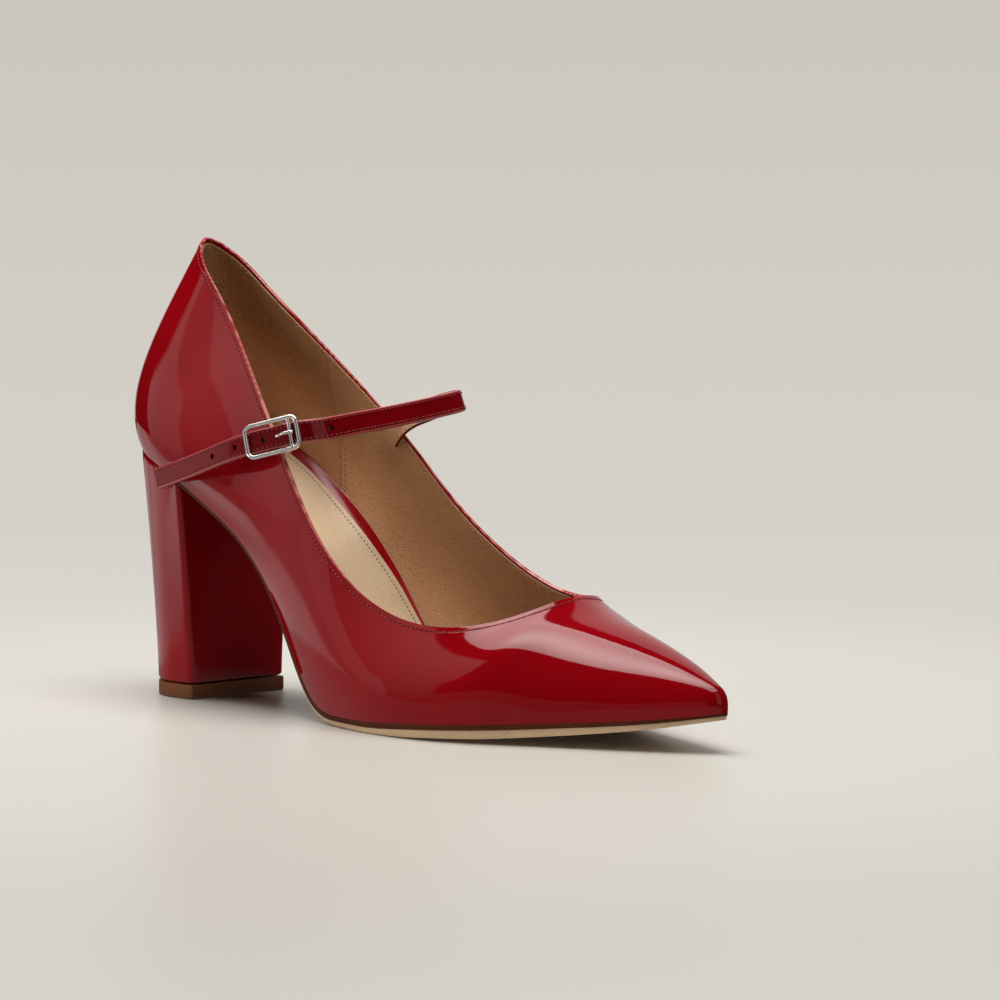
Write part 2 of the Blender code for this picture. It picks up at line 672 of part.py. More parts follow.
def build_buckle(place):
    """Rounded frame with an inner bar, and a bar under the strap for the tab."""
    half_length = (BUCKLE_LENGTH - BUCKLE_WIRE) / 2
    half_height = (BUCKLE_HEIGHT - BUCKLE_WIRE) / 2
    level = (STRAP_THICKNESS + BUCKLE_WIRE) / 2 + MEETING_GAP
    corner = BUCKLE_CORNER - BUCKLE_WIRE / 2
    path = []
    for quarter in range(4):
        turn = math.radians(90 * quarter)
        side_x = math.copysign(half_length - corner, math.cos(turn + math.pi / 4))
        side_y = math.copysign(half_height - corner, math.sin(turn + math.pi / 4))
        for step in range(CORNER_STEPS + 1):
            angle = turn + math.radians(90 / CORNER_STEPS * step)
            path.append((side_x + corner * math.cos(angle), side_y + corner * math.sin(angle)))
    outline = np.array([place.point(x, y, level) for x, y in path])
    tangents = unit(np.roll(outline, -1, axis=0) - np.roll(outline, 1, axis=0))
    wire = wire_section(BUCKLE_WIRE, FRAME_SIDES)
    sides = np.cross(tangents, place.outward)
    rings = [point + wire[:, :1] * place.outward + wire[:, 1:] * side
             for point, side in zip(outline, sides)]
    frame = solid("buckle_frame", rings, SILVER_METAL, closed_run=True)

    bar_forward = half_length - INNER_BAR_SETBACK
    under = tab_bar_level()
    beside_strap = (STRAP_WIDTH + BAR_WIRE) / 2 + MEETING_GAP
    bars = (
        [(bar_forward, -half_height, level), (bar_forward, half_height, level)],
        [(TAB_BAR_FORWARD, -half_height, level), (TAB_BAR_FORWARD, -beside_strap, under),
         (TAB_BAR_FORWARD, beside_strap, under), (TAB_BAR_FORWARD, half_height, level)],
    )
    for number, corners in enumerate(bars):
        bar = build_bar("buckle_bar_%d" % number, [place.point(*c) for c in corners], place)
        bar.hide_render = True
        bar.display_type = "WIRE"
        union = frame.modifiers.new("bar", "BOOLEAN")
        union.operation = "UNION"
        union.object = bar
    return frame


def tab_bar_level():
    """Depth of the bar under the strap, with the tab's loop between them."""
    return -(STRAP_THICKNESS / 2 + 2 * MEETING_GAP + TAB_THICKNESS + BAR_WIRE / 2)


def build_bar(name, corners, place):
    """Straight runs of wire through corners, mitred where they turn."""
    wire = wire_section(BAR_WIRE, WIRE_SIDES)
    corners = np.array(corners)
    runs = unit(np.diff(corners, axis=0))
    rings = []
    for number, corner in enumerate(corners):
        before = runs[max(number - 1, 0)]
        after = runs[min(number, len(runs) - 1)]
        mitre = unit(before + after)
        stretch = 1.0 / np.dot(mitre, after)
        side = np.cross(mitre, place.forward)
        rings.append(corner + wire[:, :1] * place.forward + wire[:, 1:] * side * stretch)
    return solid(name, rings, SILVER_METAL)


def build_prong(place):
    """Wire hooked round the inner bar, its tip resting on the strap."""
    bar = np.array(((BUCKLE_LENGTH - BUCKLE_WIRE) / 2 - INNER_BAR_SETBACK,
                    (STRAP_THICKNESS + BUCKLE_WIRE) / 2 + MEETING_GAP))
    radius = (BAR_WIRE + PRONG_WIRE) / 2 + MEETING_GAP
    path = [bar + radius * np.array((math.cos(angle), math.sin(angle)))
            for angle in np.radians(np.arange(30, 91, 20))]
    path += [np.array((bar[0] - behind * MM, STRAP_THICKNESS / 2 + outward * MM))
             for behind, outward in PRONG_SHAFT]
    points = np.array([place.point(forward, 0.0, outward) for forward, outward in path])
    across = np.array([place.up] * len(points))
    route = Route(points, across, spacing=PRONG_RING_STEP)
    return solid("buckle_prong", route.rings(wire_section(PRONG_WIRE, WIRE_SIDES)), SILVER_METAL)


def build_tab(place):
    """Narrow strip on the outer quarter, under the strap, looped round the hidden bar."""
    bar = np.array((TAB_BAR_FORWARD, tab_bar_level()))
    radius = (BAR_WIRE + TAB_THICKNESS) / 2 + MEETING_GAP
    leg = [np.array(corner) * MM for corner in TAB_LEG]
    loop = [bar + radius * np.array((math.cos(angle), math.sin(angle)))
            for angle in np.radians(np.arange(90, -151, -40))]
    points = np.array([place.point(forward, TAB_RISE, outward) for forward, outward in leg + loop])
    across = np.array([place.up] * len(points))
    route = Route(points, across, spacing=TAB_RING_STEP)
    return solid("buckle_tab", route.rings(band_section(TAB_WIDTH, TAB_THICKNESS, TAB_EDGE_CUT)),
                 STRAP_PATENT)


def main():
    for old in list(bpy.data.objects):
        bpy.data.objects.remove(old)
    last = Last()
    build_upper(last)
    build_bottom(last)
    build_heel(last)
    build_strap()
    place = BucklePlace()
    build_buckle(place)
    build_prong(place)
    build_tab(place)


main()
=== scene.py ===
import math

import bpy
import numpy as np
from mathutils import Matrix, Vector
from mathutils.bvhtree import BVHTree


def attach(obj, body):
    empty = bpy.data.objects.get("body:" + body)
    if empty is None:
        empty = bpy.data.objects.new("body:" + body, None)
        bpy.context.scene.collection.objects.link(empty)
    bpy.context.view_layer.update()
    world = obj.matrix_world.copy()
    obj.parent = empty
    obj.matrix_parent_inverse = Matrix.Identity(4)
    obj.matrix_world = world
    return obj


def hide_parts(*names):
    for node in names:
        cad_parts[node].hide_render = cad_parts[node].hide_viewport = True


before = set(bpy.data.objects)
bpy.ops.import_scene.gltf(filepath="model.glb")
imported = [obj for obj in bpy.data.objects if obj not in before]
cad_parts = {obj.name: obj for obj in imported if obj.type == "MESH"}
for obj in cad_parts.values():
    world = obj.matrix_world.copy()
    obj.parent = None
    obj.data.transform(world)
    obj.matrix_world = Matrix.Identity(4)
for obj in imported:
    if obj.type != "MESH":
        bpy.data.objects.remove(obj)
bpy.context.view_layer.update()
MM = 0.001

# ---- Room ------------------------------------------------------------------
# A pale seamless floor whose colour carries a painted pool of light, bright
# round the shoe and a little darker away from it, under soft boxes in a dim
# studio, with the camera low at the outer front.


def nodes_of(material):
    """Node tree and its Principled shader."""
    material.use_nodes = True
    return material.node_tree, material.node_tree.nodes["Principled BSDF"]


def put(tree, kind, inputs=(), **settings):
    """A node with its settings and its inputs, which are values or other nodes' outputs."""
    node = tree.nodes.new("ShaderNode" + kind)
    for name, value in settings.items():
        setattr(node, name, value)
    for name, value in dict(inputs).items():
        if isinstance(value, bpy.types.NodeSocket):
            tree.links.new(value, node.inputs[name])
        else:
            node.inputs[name].default_value = value
    return node


def ramp(tree, factor, stops, mode="EASE"):
    """Colour ramp through (place, colour) stops, its colour as the output."""
    node = put(tree, "ValToRGB", {"Fac": factor})
    node.color_ramp.interpolation = mode
    while len(node.color_ramp.elements) < len(stops):
        node.color_ramp.elements.new(0.5)
    for element, (place, colour) in zip(node.color_ramp.elements, stops):
        element.position = place
        element.color = (*colour, 1.0) if len(colour) == 3 else colour
    return node.outputs["Color"]


def sum_of(tree, operation, *values):
    """A Math node's result for values that are numbers or outputs."""
    return put(tree, "Math", dict(enumerate(values)), operation=operation).outputs[0]


def spread(tree, value, low, high, to=(0.0, 1.0), **settings):
    """The value's place between low and high, set out over another range."""
    return put(tree, "MapRange", {"Value": value, "From Min": low, "From Max": high,
                                  "To Min": to[0], "To Max": to[1]}, **settings).outputs["Result"]


def between(tree, value, low, high, soft):
    """1 between two limits and 0 outside, with a soft edge."""
    rise, fall = (spread(tree, value, *ends, interpolation_type="SMOOTHSTEP")
                  for ends in ((low - soft, low + soft), (high + soft, high - soft)))
    return sum_of(tree, "MULTIPLY", rise, fall)


def distance_from(tree, place, centre, shape=(1.0, 1.0)):
    """Distance in plan from a centre, each direction weighed by the shape."""
    centred = put(tree, "Mapping", {"Vector": place, "Location": (-centre[0], -centre[1], 0.0)})
    weighed = put(tree, "VectorMath", {0: centred.outputs["Vector"], 1: (*shape, 0.0)},
                  operation="MULTIPLY")
    return put(tree, "VectorMath", {0: weighed.outputs["Vector"]},
               operation="LENGTH").outputs["Value"]


def sides_of(tree, place):
    """The X, Y and Z of a place."""
    return put(tree, "SeparateXYZ", {"Vector": place}).outputs


def as_stage(name):
    """Names the new flat piece of the stage and gives it a material, and returns its nodes."""
    bpy.ops.object.transform_apply(location=True)
    piece = bpy.context.object
    piece.name = name
    paint = bpy.data.materials.new(name)
    piece.data.materials.append(paint)
    tree, shader = nodes_of(paint)
    return piece, tree, shader, put(tree, "TexCoord").outputs["Object"]


FLOOR_RADIUS = 1.4
FLOOR_CENTRE = (0.09, 0.0)
# Floor, its colour a painted pool of light:  share of its radius from the brightest spot, colour
FLOOR_COLOURS = ((0.10, (0.695, 0.689, 0.641)), (0.42, (0.575, 0.570, 0.528)))
FLOOR_LIGHT_POOL_CENTRE = (0.12, 0.03)
CLEAR_FROM, CLEAR_TO = 0.17, 0.44

bpy.ops.object.select_all(action="DESELECT")
bpy.ops.mesh.primitive_circle_add(vertices=128, radius=FLOOR_RADIUS, fill_type="NGON",
                                  location=(*FLOOR_CENTRE, -0.1 * MM))
floor, tree, shader, place = as_stage("floor")
off_light_pool, off_middle = (spread(tree, distance_from(tree, place, centre), 0.0, FLOOR_RADIUS)
                          for centre in (FLOOR_LIGHT_POOL_CENTRE, FLOOR_CENTRE))
# Painted light: the floor's colour is brightest round a spot near the shoe.
tree.links.new(ramp(tree, off_light_pool, FLOOR_COLOURS), shader.inputs["Base Color"])
shader.inputs["Roughness"].default_value = 0.36
shader.inputs["Specular IOR Level"].default_value = 0.35
clear = ramp(tree, off_middle, ((CLEAR_FROM, (0, 0, 0)), (CLEAR_TO, (1, 1, 1))))
see_through = put(tree, "BsdfTransparent")
faded = put(tree, "MixShader", {0: clear, 1: shader.outputs["BSDF"],
                                2: see_through.outputs["BSDF"]})
tree.links.new(faded.outputs["Shader"], tree.nodes["Material Output"].inputs["Surface"])
floor.visible_glossy = False

# The studio round it: a plain backdrop to the eye, and in the lacquer a dark
# room with tall dim panels. Bearings run from the outer side, positive towards
# the toe, and heights are above the floor, all in degrees.
BACKDROP_SPAN = (-6.0, 5.0)
# Backdrop:  share of that span, colour
BACKDROP = ((0.0, (0.755, 0.727, 0.664)), (0.165, (0.665, 0.632, 0.570)),
            (1.0, (0.597, 0.562, 0.503)))
LAMP_WHITE = (1.0, 0.97, 0.95, 1.0)
WARM_SHADE = (1.0, 0.70, 0.47, 1.0)
STUDIO_GAIN = 1.4
DARK_ROOM = 0.006
world = bpy.data.worlds.new("studio")
bpy.context.scene.world = world
world.use_nodes = True
tree = world.node_tree
parts = sides_of(tree, put(tree, "TexCoord").outputs["Generated"])
to_outer = sum_of(tree, "MULTIPLY", parts["Y"], -1.0)
bearing = sum_of(tree, "DEGREES", sum_of(tree, "ARCTAN2", parts["X"], to_outer))
height = sum_of(tree, "DEGREES", sum_of(tree, "ARCSINE", parts["Z"]))
slanted = sum_of(tree, "MULTIPLY_ADD", bearing, -0.5, height)
# Panels:  bearing from, to, height measure, from, to, level at the floor, gain a degree
PANELS = (
    (-48.0, -19.0, height, -20.0, 55.0, 0.10, 0.0095),
    (-75.5, -46.0, slanted, -20.0, 50.5, 0.32, 0.0130),
    (-165.0, -113.0, height, -20.0, 50.0, 0.38, 0.0020),
    (-22.0, 24.0, height, -20.0, 14.5, 0.12, 0.0),
    (62.0, 100.0, height, 6.0, 58.0, 0.34, 0.0),
)
glow = DARK_ROOM
for left, right, measure, low, high, level, gain in PANELS:
    panel = sum_of(tree, "MULTIPLY", between(tree, bearing, left, right, 1.0),
                   between(tree, measure, low, high, 1.5))
    panel = sum_of(tree, "MULTIPLY", panel, sum_of(tree, "MULTIPLY_ADD", height, gain, level))
    glow = sum_of(tree, "MAXIMUM", glow, panel)
lights = sum_of(tree, "MULTIPLY", glow, STUDIO_GAIN)
surround, warm_shade = (put(tree, "Background", {"Color": colour, "Strength": lights})
                        for colour in (LAMP_WHITE, WARM_SHADE))
backdrop = tree.nodes["Background"]
tree.links.new(ramp(tree, spread(tree, height, *BACKDROP_SPAN), BACKDROP),
               backdrop.inputs["Color"])
ray = put(tree, "LightPath").outputs
unseen = put(tree, "MixShader", {0: ray["Is Diffuse Ray"], 1: surround.outputs["Background"],
                                 2: warm_shade.outputs["Background"]})
mixed = put(tree, "MixShader", {0: ray["Is Camera Ray"], 1: unseen.outputs["Shader"],
                                2: backdrop.outputs["Background"]})
tree.links.new(mixed.outputs["Shader"], tree.nodes["World Output"].inputs["Surface"])

# What the lacquer mirrors of the floor, painted on a glowing card that only
# reflections show: painted shade, dim beside the shoe and darker on the inner
# side, paler behind it, and a painted shine further out beside the heel, where
# the lights would strike the floor.
DIM_FLOOR, DARK_FLOOR, DARK_TO_DIM = 0.22, 0.03, (-0.04, 0.02)
PALE_FLOOR, PALE_ALONG, PALE_ACROSS = 0.30, (-2.0, -0.075), (-0.4, 0.15)
SHINE, SHINE_ALONG, SHINE_ACROSS = 3.4, (-0.32, -0.07), (0.06, 0.50)
GRAZING, STEEP = 0.93, 0.80

bpy.ops.object.select_all(action="DESELECT")
bpy.ops.mesh.primitive_plane_add(size=2 * FLOOR_RADIUS, location=(*FLOOR_CENTRE, -0.2 * MM))
painted_floor_reflection, tree, shader, place = as_stage("painted_floor_reflection")
x, y, z = sides_of(tree, place)
out_from_shoe = sum_of(tree, "MULTIPLY", y, -1.0)
pale = sum_of(tree, "MULTIPLY", between(tree, x, *PALE_ALONG, 0.03),
              between(tree, out_from_shoe, *PALE_ACROSS, 0.03))
streak = sum_of(tree, "MULTIPLY", between(tree, x, *SHINE_ALONG, 0.05),
                spread(tree, out_from_shoe, *SHINE_ACROSS, (0.0, SHINE)))
facing = put(tree, "LayerWeight", {"Blend": 0.5}).outputs["Facing"]
streak = sum_of(tree, "MULTIPLY", streak, spread(tree, facing, GRAZING, STEEP))
shining = sum_of(tree, "MAXIMUM", streak, sum_of(tree, "MULTIPLY", pale, PALE_FLOOR))
dim = spread(tree, out_from_shoe, *DARK_TO_DIM, (DARK_FLOOR, DIM_FLOOR))
shining = sum_of(tree, "MULTIPLY", sum_of(tree, "ADD", shining, dim), STUDIO_GAIN)
# The card's glow is painted light and shade: no lamp lights it.
light_of_floor = put(tree, "Emission", {"Color": LAMP_WHITE, "Strength": shining})
tree.links.new(light_of_floor.outputs["Emission"], tree.nodes["Material Output"].inputs["Surface"])
for ray in ("camera", "diffuse", "shadow", "transmission"):
    setattr(painted_floor_reflection, "visible_" + ray, False)


def area_lamp(name, power, colour, place, turn):
    """An area lamp that the camera doesn't see."""
    lamp = bpy.data.lights.new(name, "AREA")
    lamp.energy, lamp.color = power, colour
    held = bpy.data.objects.new(name, lamp)
    bpy.context.scene.collection.objects.link(held)
    held.location, held.rotation_euler = place, turn
    held.visible_camera = False
    return held


# One large soft box hangs over the shoe, turned with its near edge to the
# outer heel and brighter round a spot near its middle.
BOX_CENTRE = (-0.10, 0.03, 1.10)
BOX_TURN = -3.0
BOX_SIZE = (1.5, 0.765)
BOX_POWER = 18.0
HOT_SPOT = (0.57, 0.40)
HOT_SHAPE = (1.5, 0.75)
HOT_REACH = 0.42
EVEN_PART, HOT_PART = 0.85, 1.75
lamp = area_lamp("soft_box", BOX_POWER, (1.0, 0.975, 0.94), BOX_CENTRE,
                 (0.0, 0.0, math.radians(BOX_TURN))).data
lamp.shape = "RECTANGLE"
lamp.size, lamp.size_y = BOX_SIZE
lamp.use_nodes = True
tree = lamp.node_tree
off_hot = distance_from(tree, put(tree, "NewGeometry").outputs["Parametric"], HOT_SPOT, HOT_SHAPE)
tree.links.new(spread(tree, off_hot, HOT_REACH, 0.0, (EVEN_PART, HOT_PART),
                      interpolation_type="SMOOTHSTEP"), tree.nodes["Emission"].inputs["Strength"])

# Two large fills, from the outer and the inner side, even the shade on the shoe.
# They give no reflection and leave the floor's shadows alone.
FILL_SIZE = 1.2
FILLS = (("outer", (-0.60, -1.20, 0.60), 10.0), ("inner", (0.20, 1.3, 0.9), 12.0))
not_the_floor = bpy.data.collections.new("not_the_floor")
not_the_floor.objects.link(floor)
not_the_floor.collection_objects[0].light_linking.link_state = "EXCLUDE"
for side, place, power in FILLS:
    fill = area_lamp("fill_" + side, power, (1.0, 0.97, 0.93), place,
                     Vector(place).to_track_quat("Z", "Y").to_euler())
    fill.data.size = FILL_SIZE
    fill.visible_glossy = False
    fill.light_linking.receiver_collection = not_the_floor

CAMERA_PLACE = (0.9179, -0.7931, 0.1436)
CAMERA_TURN = 45.0
CAMERA_DROP = 4.055
eye = bpy.data.cameras.new("camera")
eye.lens, eye.sensor_width = 144.72, 36.0
eye.clip_start, eye.clip_end = 0.05, 20.0
camera = bpy.data.objects.new("camera", eye)
bpy.context.scene.collection.objects.link(camera)
camera.location = CAMERA_PLACE
camera.rotation_euler = (math.radians(90.0 - CAMERA_DROP), 0.0, math.radians(CAMERA_TURN))
bpy.context.scene.camera = camera
bpy.context.scene.view_settings.view_transform = "Standard"

# ---- Upper -----------------------------------------------------------------
# The visible skin of red patent leather, lasted over the forme. Its shape is
# that of the last: ribs that rise from the feather line, where upper meets
# sole, to the topline or, on the vamp, to the ridge. It is folded in at the
# topline and cemented under the insole.
SKIN_WALL = 0.9

# Side view of the feather line:  x  z
BOTTOM_PROFILE = (
    (-21.5, 76.0), (-6.0, 72.4), (14.0, 65.6), (31.0, 56.2), (47.0, 43.5),
    (60.0, 27.0), (70.0, 12.7), (79.0, 5.0), (90.0, 3.0), (105.0, 3.0),
    (121.0, 3.9), (145.0, 5.2), (170.0, 6.9), (190.0, 8.6), (206.0, 10.8),
)
TREAD_HEIGHT = 3.0

# Ribs from the back seam to the side of the throat:
#   foot_x foot_y foot_lean  top_x top_y top_z top_lean
BACK_SEAM = (-21.5, 0.0, 28, 0.4, 0.0, 137.0, 30)
OUTER_QUARTER = (
    (-14.2, -13.6, 28, 4.0, -6.0, 133.6, 24),
    (2.0, -22.2, 23, 16.0, -10.6, 122.3, 14),
    (20.0, -24.2, 18, 31.5, -15.2, 107.5, 10),
    (40.0, -23.0, 16, 48.0, -21.4, 90.6, 6),
    (58.0, -23.8, 14, 62.0, -26.0, 75.8, 2),
    (74.0, -27.0, 14, 76.0, -29.2, 59.0, 2),
    (92.0, -31.8, 16, 94.0, -30.8, 42.4, 12),
    (111.0, -35.0, 18, 113.0, -29.0, 32.6, 26),
    (128.0, -34.6, 18, 130.0, -24.2, 30.4, 44),
    (141.0, -30.8, 18, 142.5, -13.0, 33.4, 66),
)
INNER_QUARTER = (
    (-14.2, 13.6, 28, 4.0, 6.0, 133.6, 24),
    (2.0, 21.8, 23, 16.0, 10.6, 122.6, 14),
    (20.0, 23.0, 18, 31.5, 14.8, 108.5, 10),
    (40.0, 20.4, 16, 48.0, 20.8, 92.0, 4),
    (58.0, 19.8, 16, 62.0, 25.6, 77.0, 0),
    (74.0, 23.4, 16, 76.0, 29.2, 61.2, 2),
    (92.0, 31.4, 16, 94.0, 31.0, 47.4, 10),
    (111.0, 37.0, 16, 112.0, 30.0, 39.3, 22),
    (128.0, 37.6, 16, 129.0, 27.0, 36.2, 40),
    (142.0, 33.8, 16, 143.6, 20.4, 36.9, 64),
)
# Pairs of ribs that meet on the ridge, throat to toe:
#   outer_x outer_y inner_x inner_y foot_lean ridge_x
VAMP = (
    (155.0, -24.7, 155.5, 27.6, 16, 147.6),
    (169.0, -18.2, 169.5, 21.4, 14, 163.0),
    (183.0, -11.3, 183.5, 15.6, 12, 178.0),
    (195.0, -5.0, 195.5, 10.6, 10, 191.0),
    (202.0, -0.7, 202.2, 7.4, 7, 197.6),
    (205.2, 1.8, 205.2, 5.8, 5, 199.8),
)
TOE_TIP = (206.0, 3.9, 206.0, 3.9, 4, 200.2)
# Ridge of the vamp:  x  y  z
RIDGE = (
    (147.6, 7.6, 38.2), (163.0, 7.6, 32.4), (178.0, 6.6, 27.6), (191.0, 5.0, 23.2),
    (200.2, 3.9, 19.3),
)
LEVEL_LEAN = 90.0
LEVELLING_START = 40.0
FOOT_FULLNESS = 1.06
TOP_FULLNESS = 1.02
INNER_VAMP_SWELL = 0.30


class Spline:
    """Smooth cubic through rows of values, with free ends or closed."""

    def __init__(self, rows, knots=None, closed=False):
        values = np.asarray(rows, float)
        if closed:
            values = np.vstack([values, values[:1]])
        if knots is None:
            chords = np.linalg.norm(np.diff(values, axis=0), axis=1)
            knots = np.concatenate([[0.0], np.cumsum(chords)])
        self.knots, self.values = np.asarray(knots, float), values
        steps = np.diff(self.knots)
        rates = np.diff(values, axis=0) / steps[:, None]
        count = len(self.knots)
        matrix, right = np.zeros((count, count)), np.zeros_like(values)
        for row in range(1, count - 1):
            before, after = steps[row - 1], steps[row]
            matrix[row, row - 1:row + 2] = after, 2 * (before + after), before
            right[row] = 3 * (after * rates[row - 1] + before * rates[row])
        if closed:
            before, after = steps[-1], steps[0]
            matrix[0, -2], matrix[0, 0], matrix[0, 1] = after, 2 * (before + after), before
            right[0] = 3 * (after * rates[-1] + before * rates[0])
            matrix[-1, 0], matrix[-1, -1] = 1, -1
        else:
            matrix[0, :2], matrix[-1, -2:] = (2, 1), (1, 2)
            right[0], right[-1] = 3 * rates[0], 3 * rates[-1]
        self.slopes = np.linalg.solve(matrix, right)

    def _span(self, where):
        where = np.atleast_1d(np.asarray(where, float))
        left = np.clip(np.searchsorted(self.knots, where, side="right") - 1,
                       0, len(self.knots) - 2)
        span = (self.knots[left + 1] - self.knots[left])[:, None]
        u = (where - self.knots[left])[:, None] / span
        return left, span, u

    def at(self, where):
        left, span, u = self._span(where)
        return ((2 * u ** 3 - 3 * u * u + 1) * self.values[left]
                + (u ** 3 - 2 * u * u + u) * self.slopes[left] * span
                + (3 * u * u - 2 * u ** 3) * self.values[left + 1]
                + (u ** 3 - u * u) * self.slopes[left + 1] * span)

    def rate(self, where):
        left, span, u = self._span(where)
        return ((6 * u * u - 6 * u) * (self.values[left] - self.values[left + 1]) / span
                + (3 * u * u - 4 * u + 1) * self.slopes[left]
                + (3 * u * u - 2 * u) * self.slopes[left + 1])


def unit(vectors):
    vectors = np.asarray(vectors, float)
    return vectors / np.linalg.norm(vectors, axis=-1, keepdims=True)


def eased(share):
    share = min(max(share, 0.0), 1.0)
    return share * share * (3 - 2 * share)


BOTTOM = Spline([row[1:] for row in BOTTOM_PROFILE], knots=[row[0] for row in BOTTOM_PROFILE])


def bottom_height(x):
    return max(BOTTOM.at(x)[0, 0], TREAD_HEIGHT)


def between_rows(values, row, share):
    """The value that lies a share of the way from a row to the next."""
    return values[row] * (1 - share) + values[row + 1] * share


class Last:
    """Ribs in one ring: toe tip, inner side, back seam, outer side, toe tip."""

    def __init__(self):
        quarters = [*INNER_QUARTER[::-1], BACK_SEAM, *OUTER_QUARTER]
        foot = [TOE_TIP[:2], *[row[2:4] for row in VAMP[::-1]], *[row[:2] for row in quarters],
                *[row[:2] for row in VAMP]]
        self.feather = Spline(foot, closed=True)
        self.ridge = Spline([row[1:] for row in RIDGE], knots=[row[0] for row in RIDGE])
        self.throat_x = VAMP[0][5]
        throat = (self.throat_x, *self.ridge.at(self.throat_x)[0])
        self.topline = Spline([throat, *[row[3:6] for row in quarters]], closed=True)
        ends = [(row[4], LEVEL_LEAN) for row in VAMP]
        leans = [(TOE_TIP[4], LEVEL_LEAN), *ends[::-1], *[(row[2], row[6]) for row in quarters],
                 *ends, (TOE_TIP[4], LEVEL_LEAN)]
        self.leans = Spline(leans, knots=range(len(leans)))
        self.rows = len(leans) - 1
        ridge_ends = [row[5] for row in VAMP]
        self.ridge_x = [TOE_TIP[5], *ridge_ends[::-1], *[None] * len(quarters), *ridge_ends,
                        TOE_TIP[5]]
        self.quarter_rows = len(quarters)

    def foot_at(self, row, share):
        where = between_rows(self.feather.knots, row, share)
        point, run = self.feather.at(where)[0], self.feather.rate(where)[0]
        return np.array((*point, bottom_height(point[0]))), unit((run[1], -run[0]))

    def top_at(self, row, share):
        vamp, quarter = len(VAMP), self.quarter_rows
        if row < vamp or row > vamp + quarter:
            x = between_rows(self.ridge_x, row, share)
            return np.array((x, *self.ridge.at(x)[0])), None
        where = between_rows(self.topline.knots, row - vamp, share)
        run = self.topline.rate(where)[0]
        return self.topline.at(where)[0], unit((run[1], -run[0]))

    def rib(self, row, share, risers):
        foot, outward = self.foot_at(row, share)
        top, top_outward = self.top_at(row, share)
        foot_lean, top_lean = np.clip(self.leans.at(row + share)[0], 0, LEVEL_LEAN)
        level = eased((top_lean - LEVELLING_START) / (LEVEL_LEAN - LEVELLING_START))
        from_tip = row + share
        fullness = TOP_FULLNESS + INNER_VAMP_SWELL * eased(min(from_tip / 2,
                                                               (len(VAMP) + 2 - from_tip) / 2))
        to_foot = unit(foot[:2] - top[:2])
        if top_outward is not None:
            to_foot = unit((1 - level) * top_outward + level * to_foot)
        ridge_fall = self.ridge.rate(max(top[0], self.throat_x))[0, 1]
        foot_lean, top_lean = math.radians(foot_lean), math.radians(top_lean)
        leave = np.array((*(outward * math.sin(foot_lean)), math.cos(foot_lean)))
        drop = ridge_fall * to_foot[0] * level - math.cos(top_lean)
        arrive = unit((*(to_foot * math.sin(top_lean)), drop))
        turn = min(foot_lean + top_lean, math.pi / 2)
        share = 4 / 3 * math.tan(turn / 4) / math.sin(turn)
        near_foot = foot + leave * np.dot(top - foot, leave) * share * FOOT_FULLNESS
        near_top = top + arrive * np.dot(foot - top, arrive) * share * fullness
        u = np.linspace(0.0, 1.0, risers + 1)[:, None]
        return ((1 - u) ** 3 * foot + 3 * u * (1 - u) ** 2 * near_foot
                + 3 * u * u * (1 - u) * near_top + u ** 3 * top)


RIB_STEPS = 5
RIB_RISERS = 14
SAME_POINT = 0.02
last = Last()
ribs = np.array([last.rib(row, step / RIB_STEPS, RIB_RISERS)
                 for row in range(last.rows) for step in range(RIB_STEPS)]) * MM


def only(piece):
    """Makes a piece the one selected and active."""
    bpy.ops.object.select_all(action="DESELECT")
    piece.select_set(True)
    bpy.context.view_layer.objects.active = piece


def made_mesh(name, points, faces):
    mesh = bpy.data.meshes.new(name)
    mesh.from_pydata([tuple(point) for point in points], [], faces)
    piece = bpy.data.objects.new(name, mesh)
    bpy.context.scene.collection.objects.link(piece)
    return piece


def finish_modifier(piece, kind, **settings):
    """Adds a modifier with its settings and applies it."""
    only(piece)
    modifier = piece.modifiers.new(kind.lower(), kind)
    for name, value in settings.items():
        setattr(modifier, name, value)
    bpy.ops.object.modifier_apply(modifier=modifier.name)


def shade(piece, degrees):
    """Shades the piece smooth across edges less sharp than an angle."""
    only(piece)
    bpy.ops.object.shade_smooth_by_angle(angle=math.radians(degrees))


def rounded(piece, width, segments, corner=60, smooth=50):
    """Rounds off the edges sharper than the corner angle, in degrees, and shades the rest."""
    finish_modifier(piece, "BEVEL", width=width * MM, segments=segments, limit_method="ANGLE",
                    angle_limit=math.radians(corner))
    shade(piece, smooth)


def face_outward(piece, merge=0.0):
    """Turns the faces outward, once points closer than merge are made one."""
    only(piece)
    bpy.ops.object.mode_set(mode="EDIT")
    bpy.ops.mesh.select_all(action="SELECT")
    if merge:
        bpy.ops.mesh.remove_doubles(threshold=merge * MM)
    bpy.ops.mesh.normals_make_consistent(inside=False)
    bpy.ops.object.mode_set(mode="OBJECT")


def fair(points, neighbours, free, edge, hold=0.0):
    """Moves the free points to where the surface bends least, held to their places or not."""
    places = {index: column for column, index in enumerate(free)}
    rows = sorted({n for index in free for n in (index, *neighbours[index])} - edge)
    matrix = np.zeros((len(rows) + len(free), len(free)))
    right = np.zeros((len(rows) + len(free), 3))
    matrix[len(rows):] = hold * np.eye(len(free))
    right[len(rows):] = hold * points[free]
    for row, index in enumerate(rows):
        share = 1.0 / len(neighbours[index])
        for other, weight in ((index, -1.0), *((n, share) for n in neighbours[index])):
            if other in places:
                matrix[row, places[other]] += weight
            else:
                right[row] -= weight * points[other]
    points[free] = np.linalg.lstsq(matrix, right, rcond=None)[0]


count, across = ribs.shape[:2]
quads = [(i * across + j, (i + 1) % count * across + j,
          (i + 1) % count * across + j + 1, i * across + j + 1)
         for i in range(count) for j in range(across - 1)]
forme = made_mesh("forme", ribs.reshape(-1, 3), quads)
face_outward(forme, SAME_POINT)

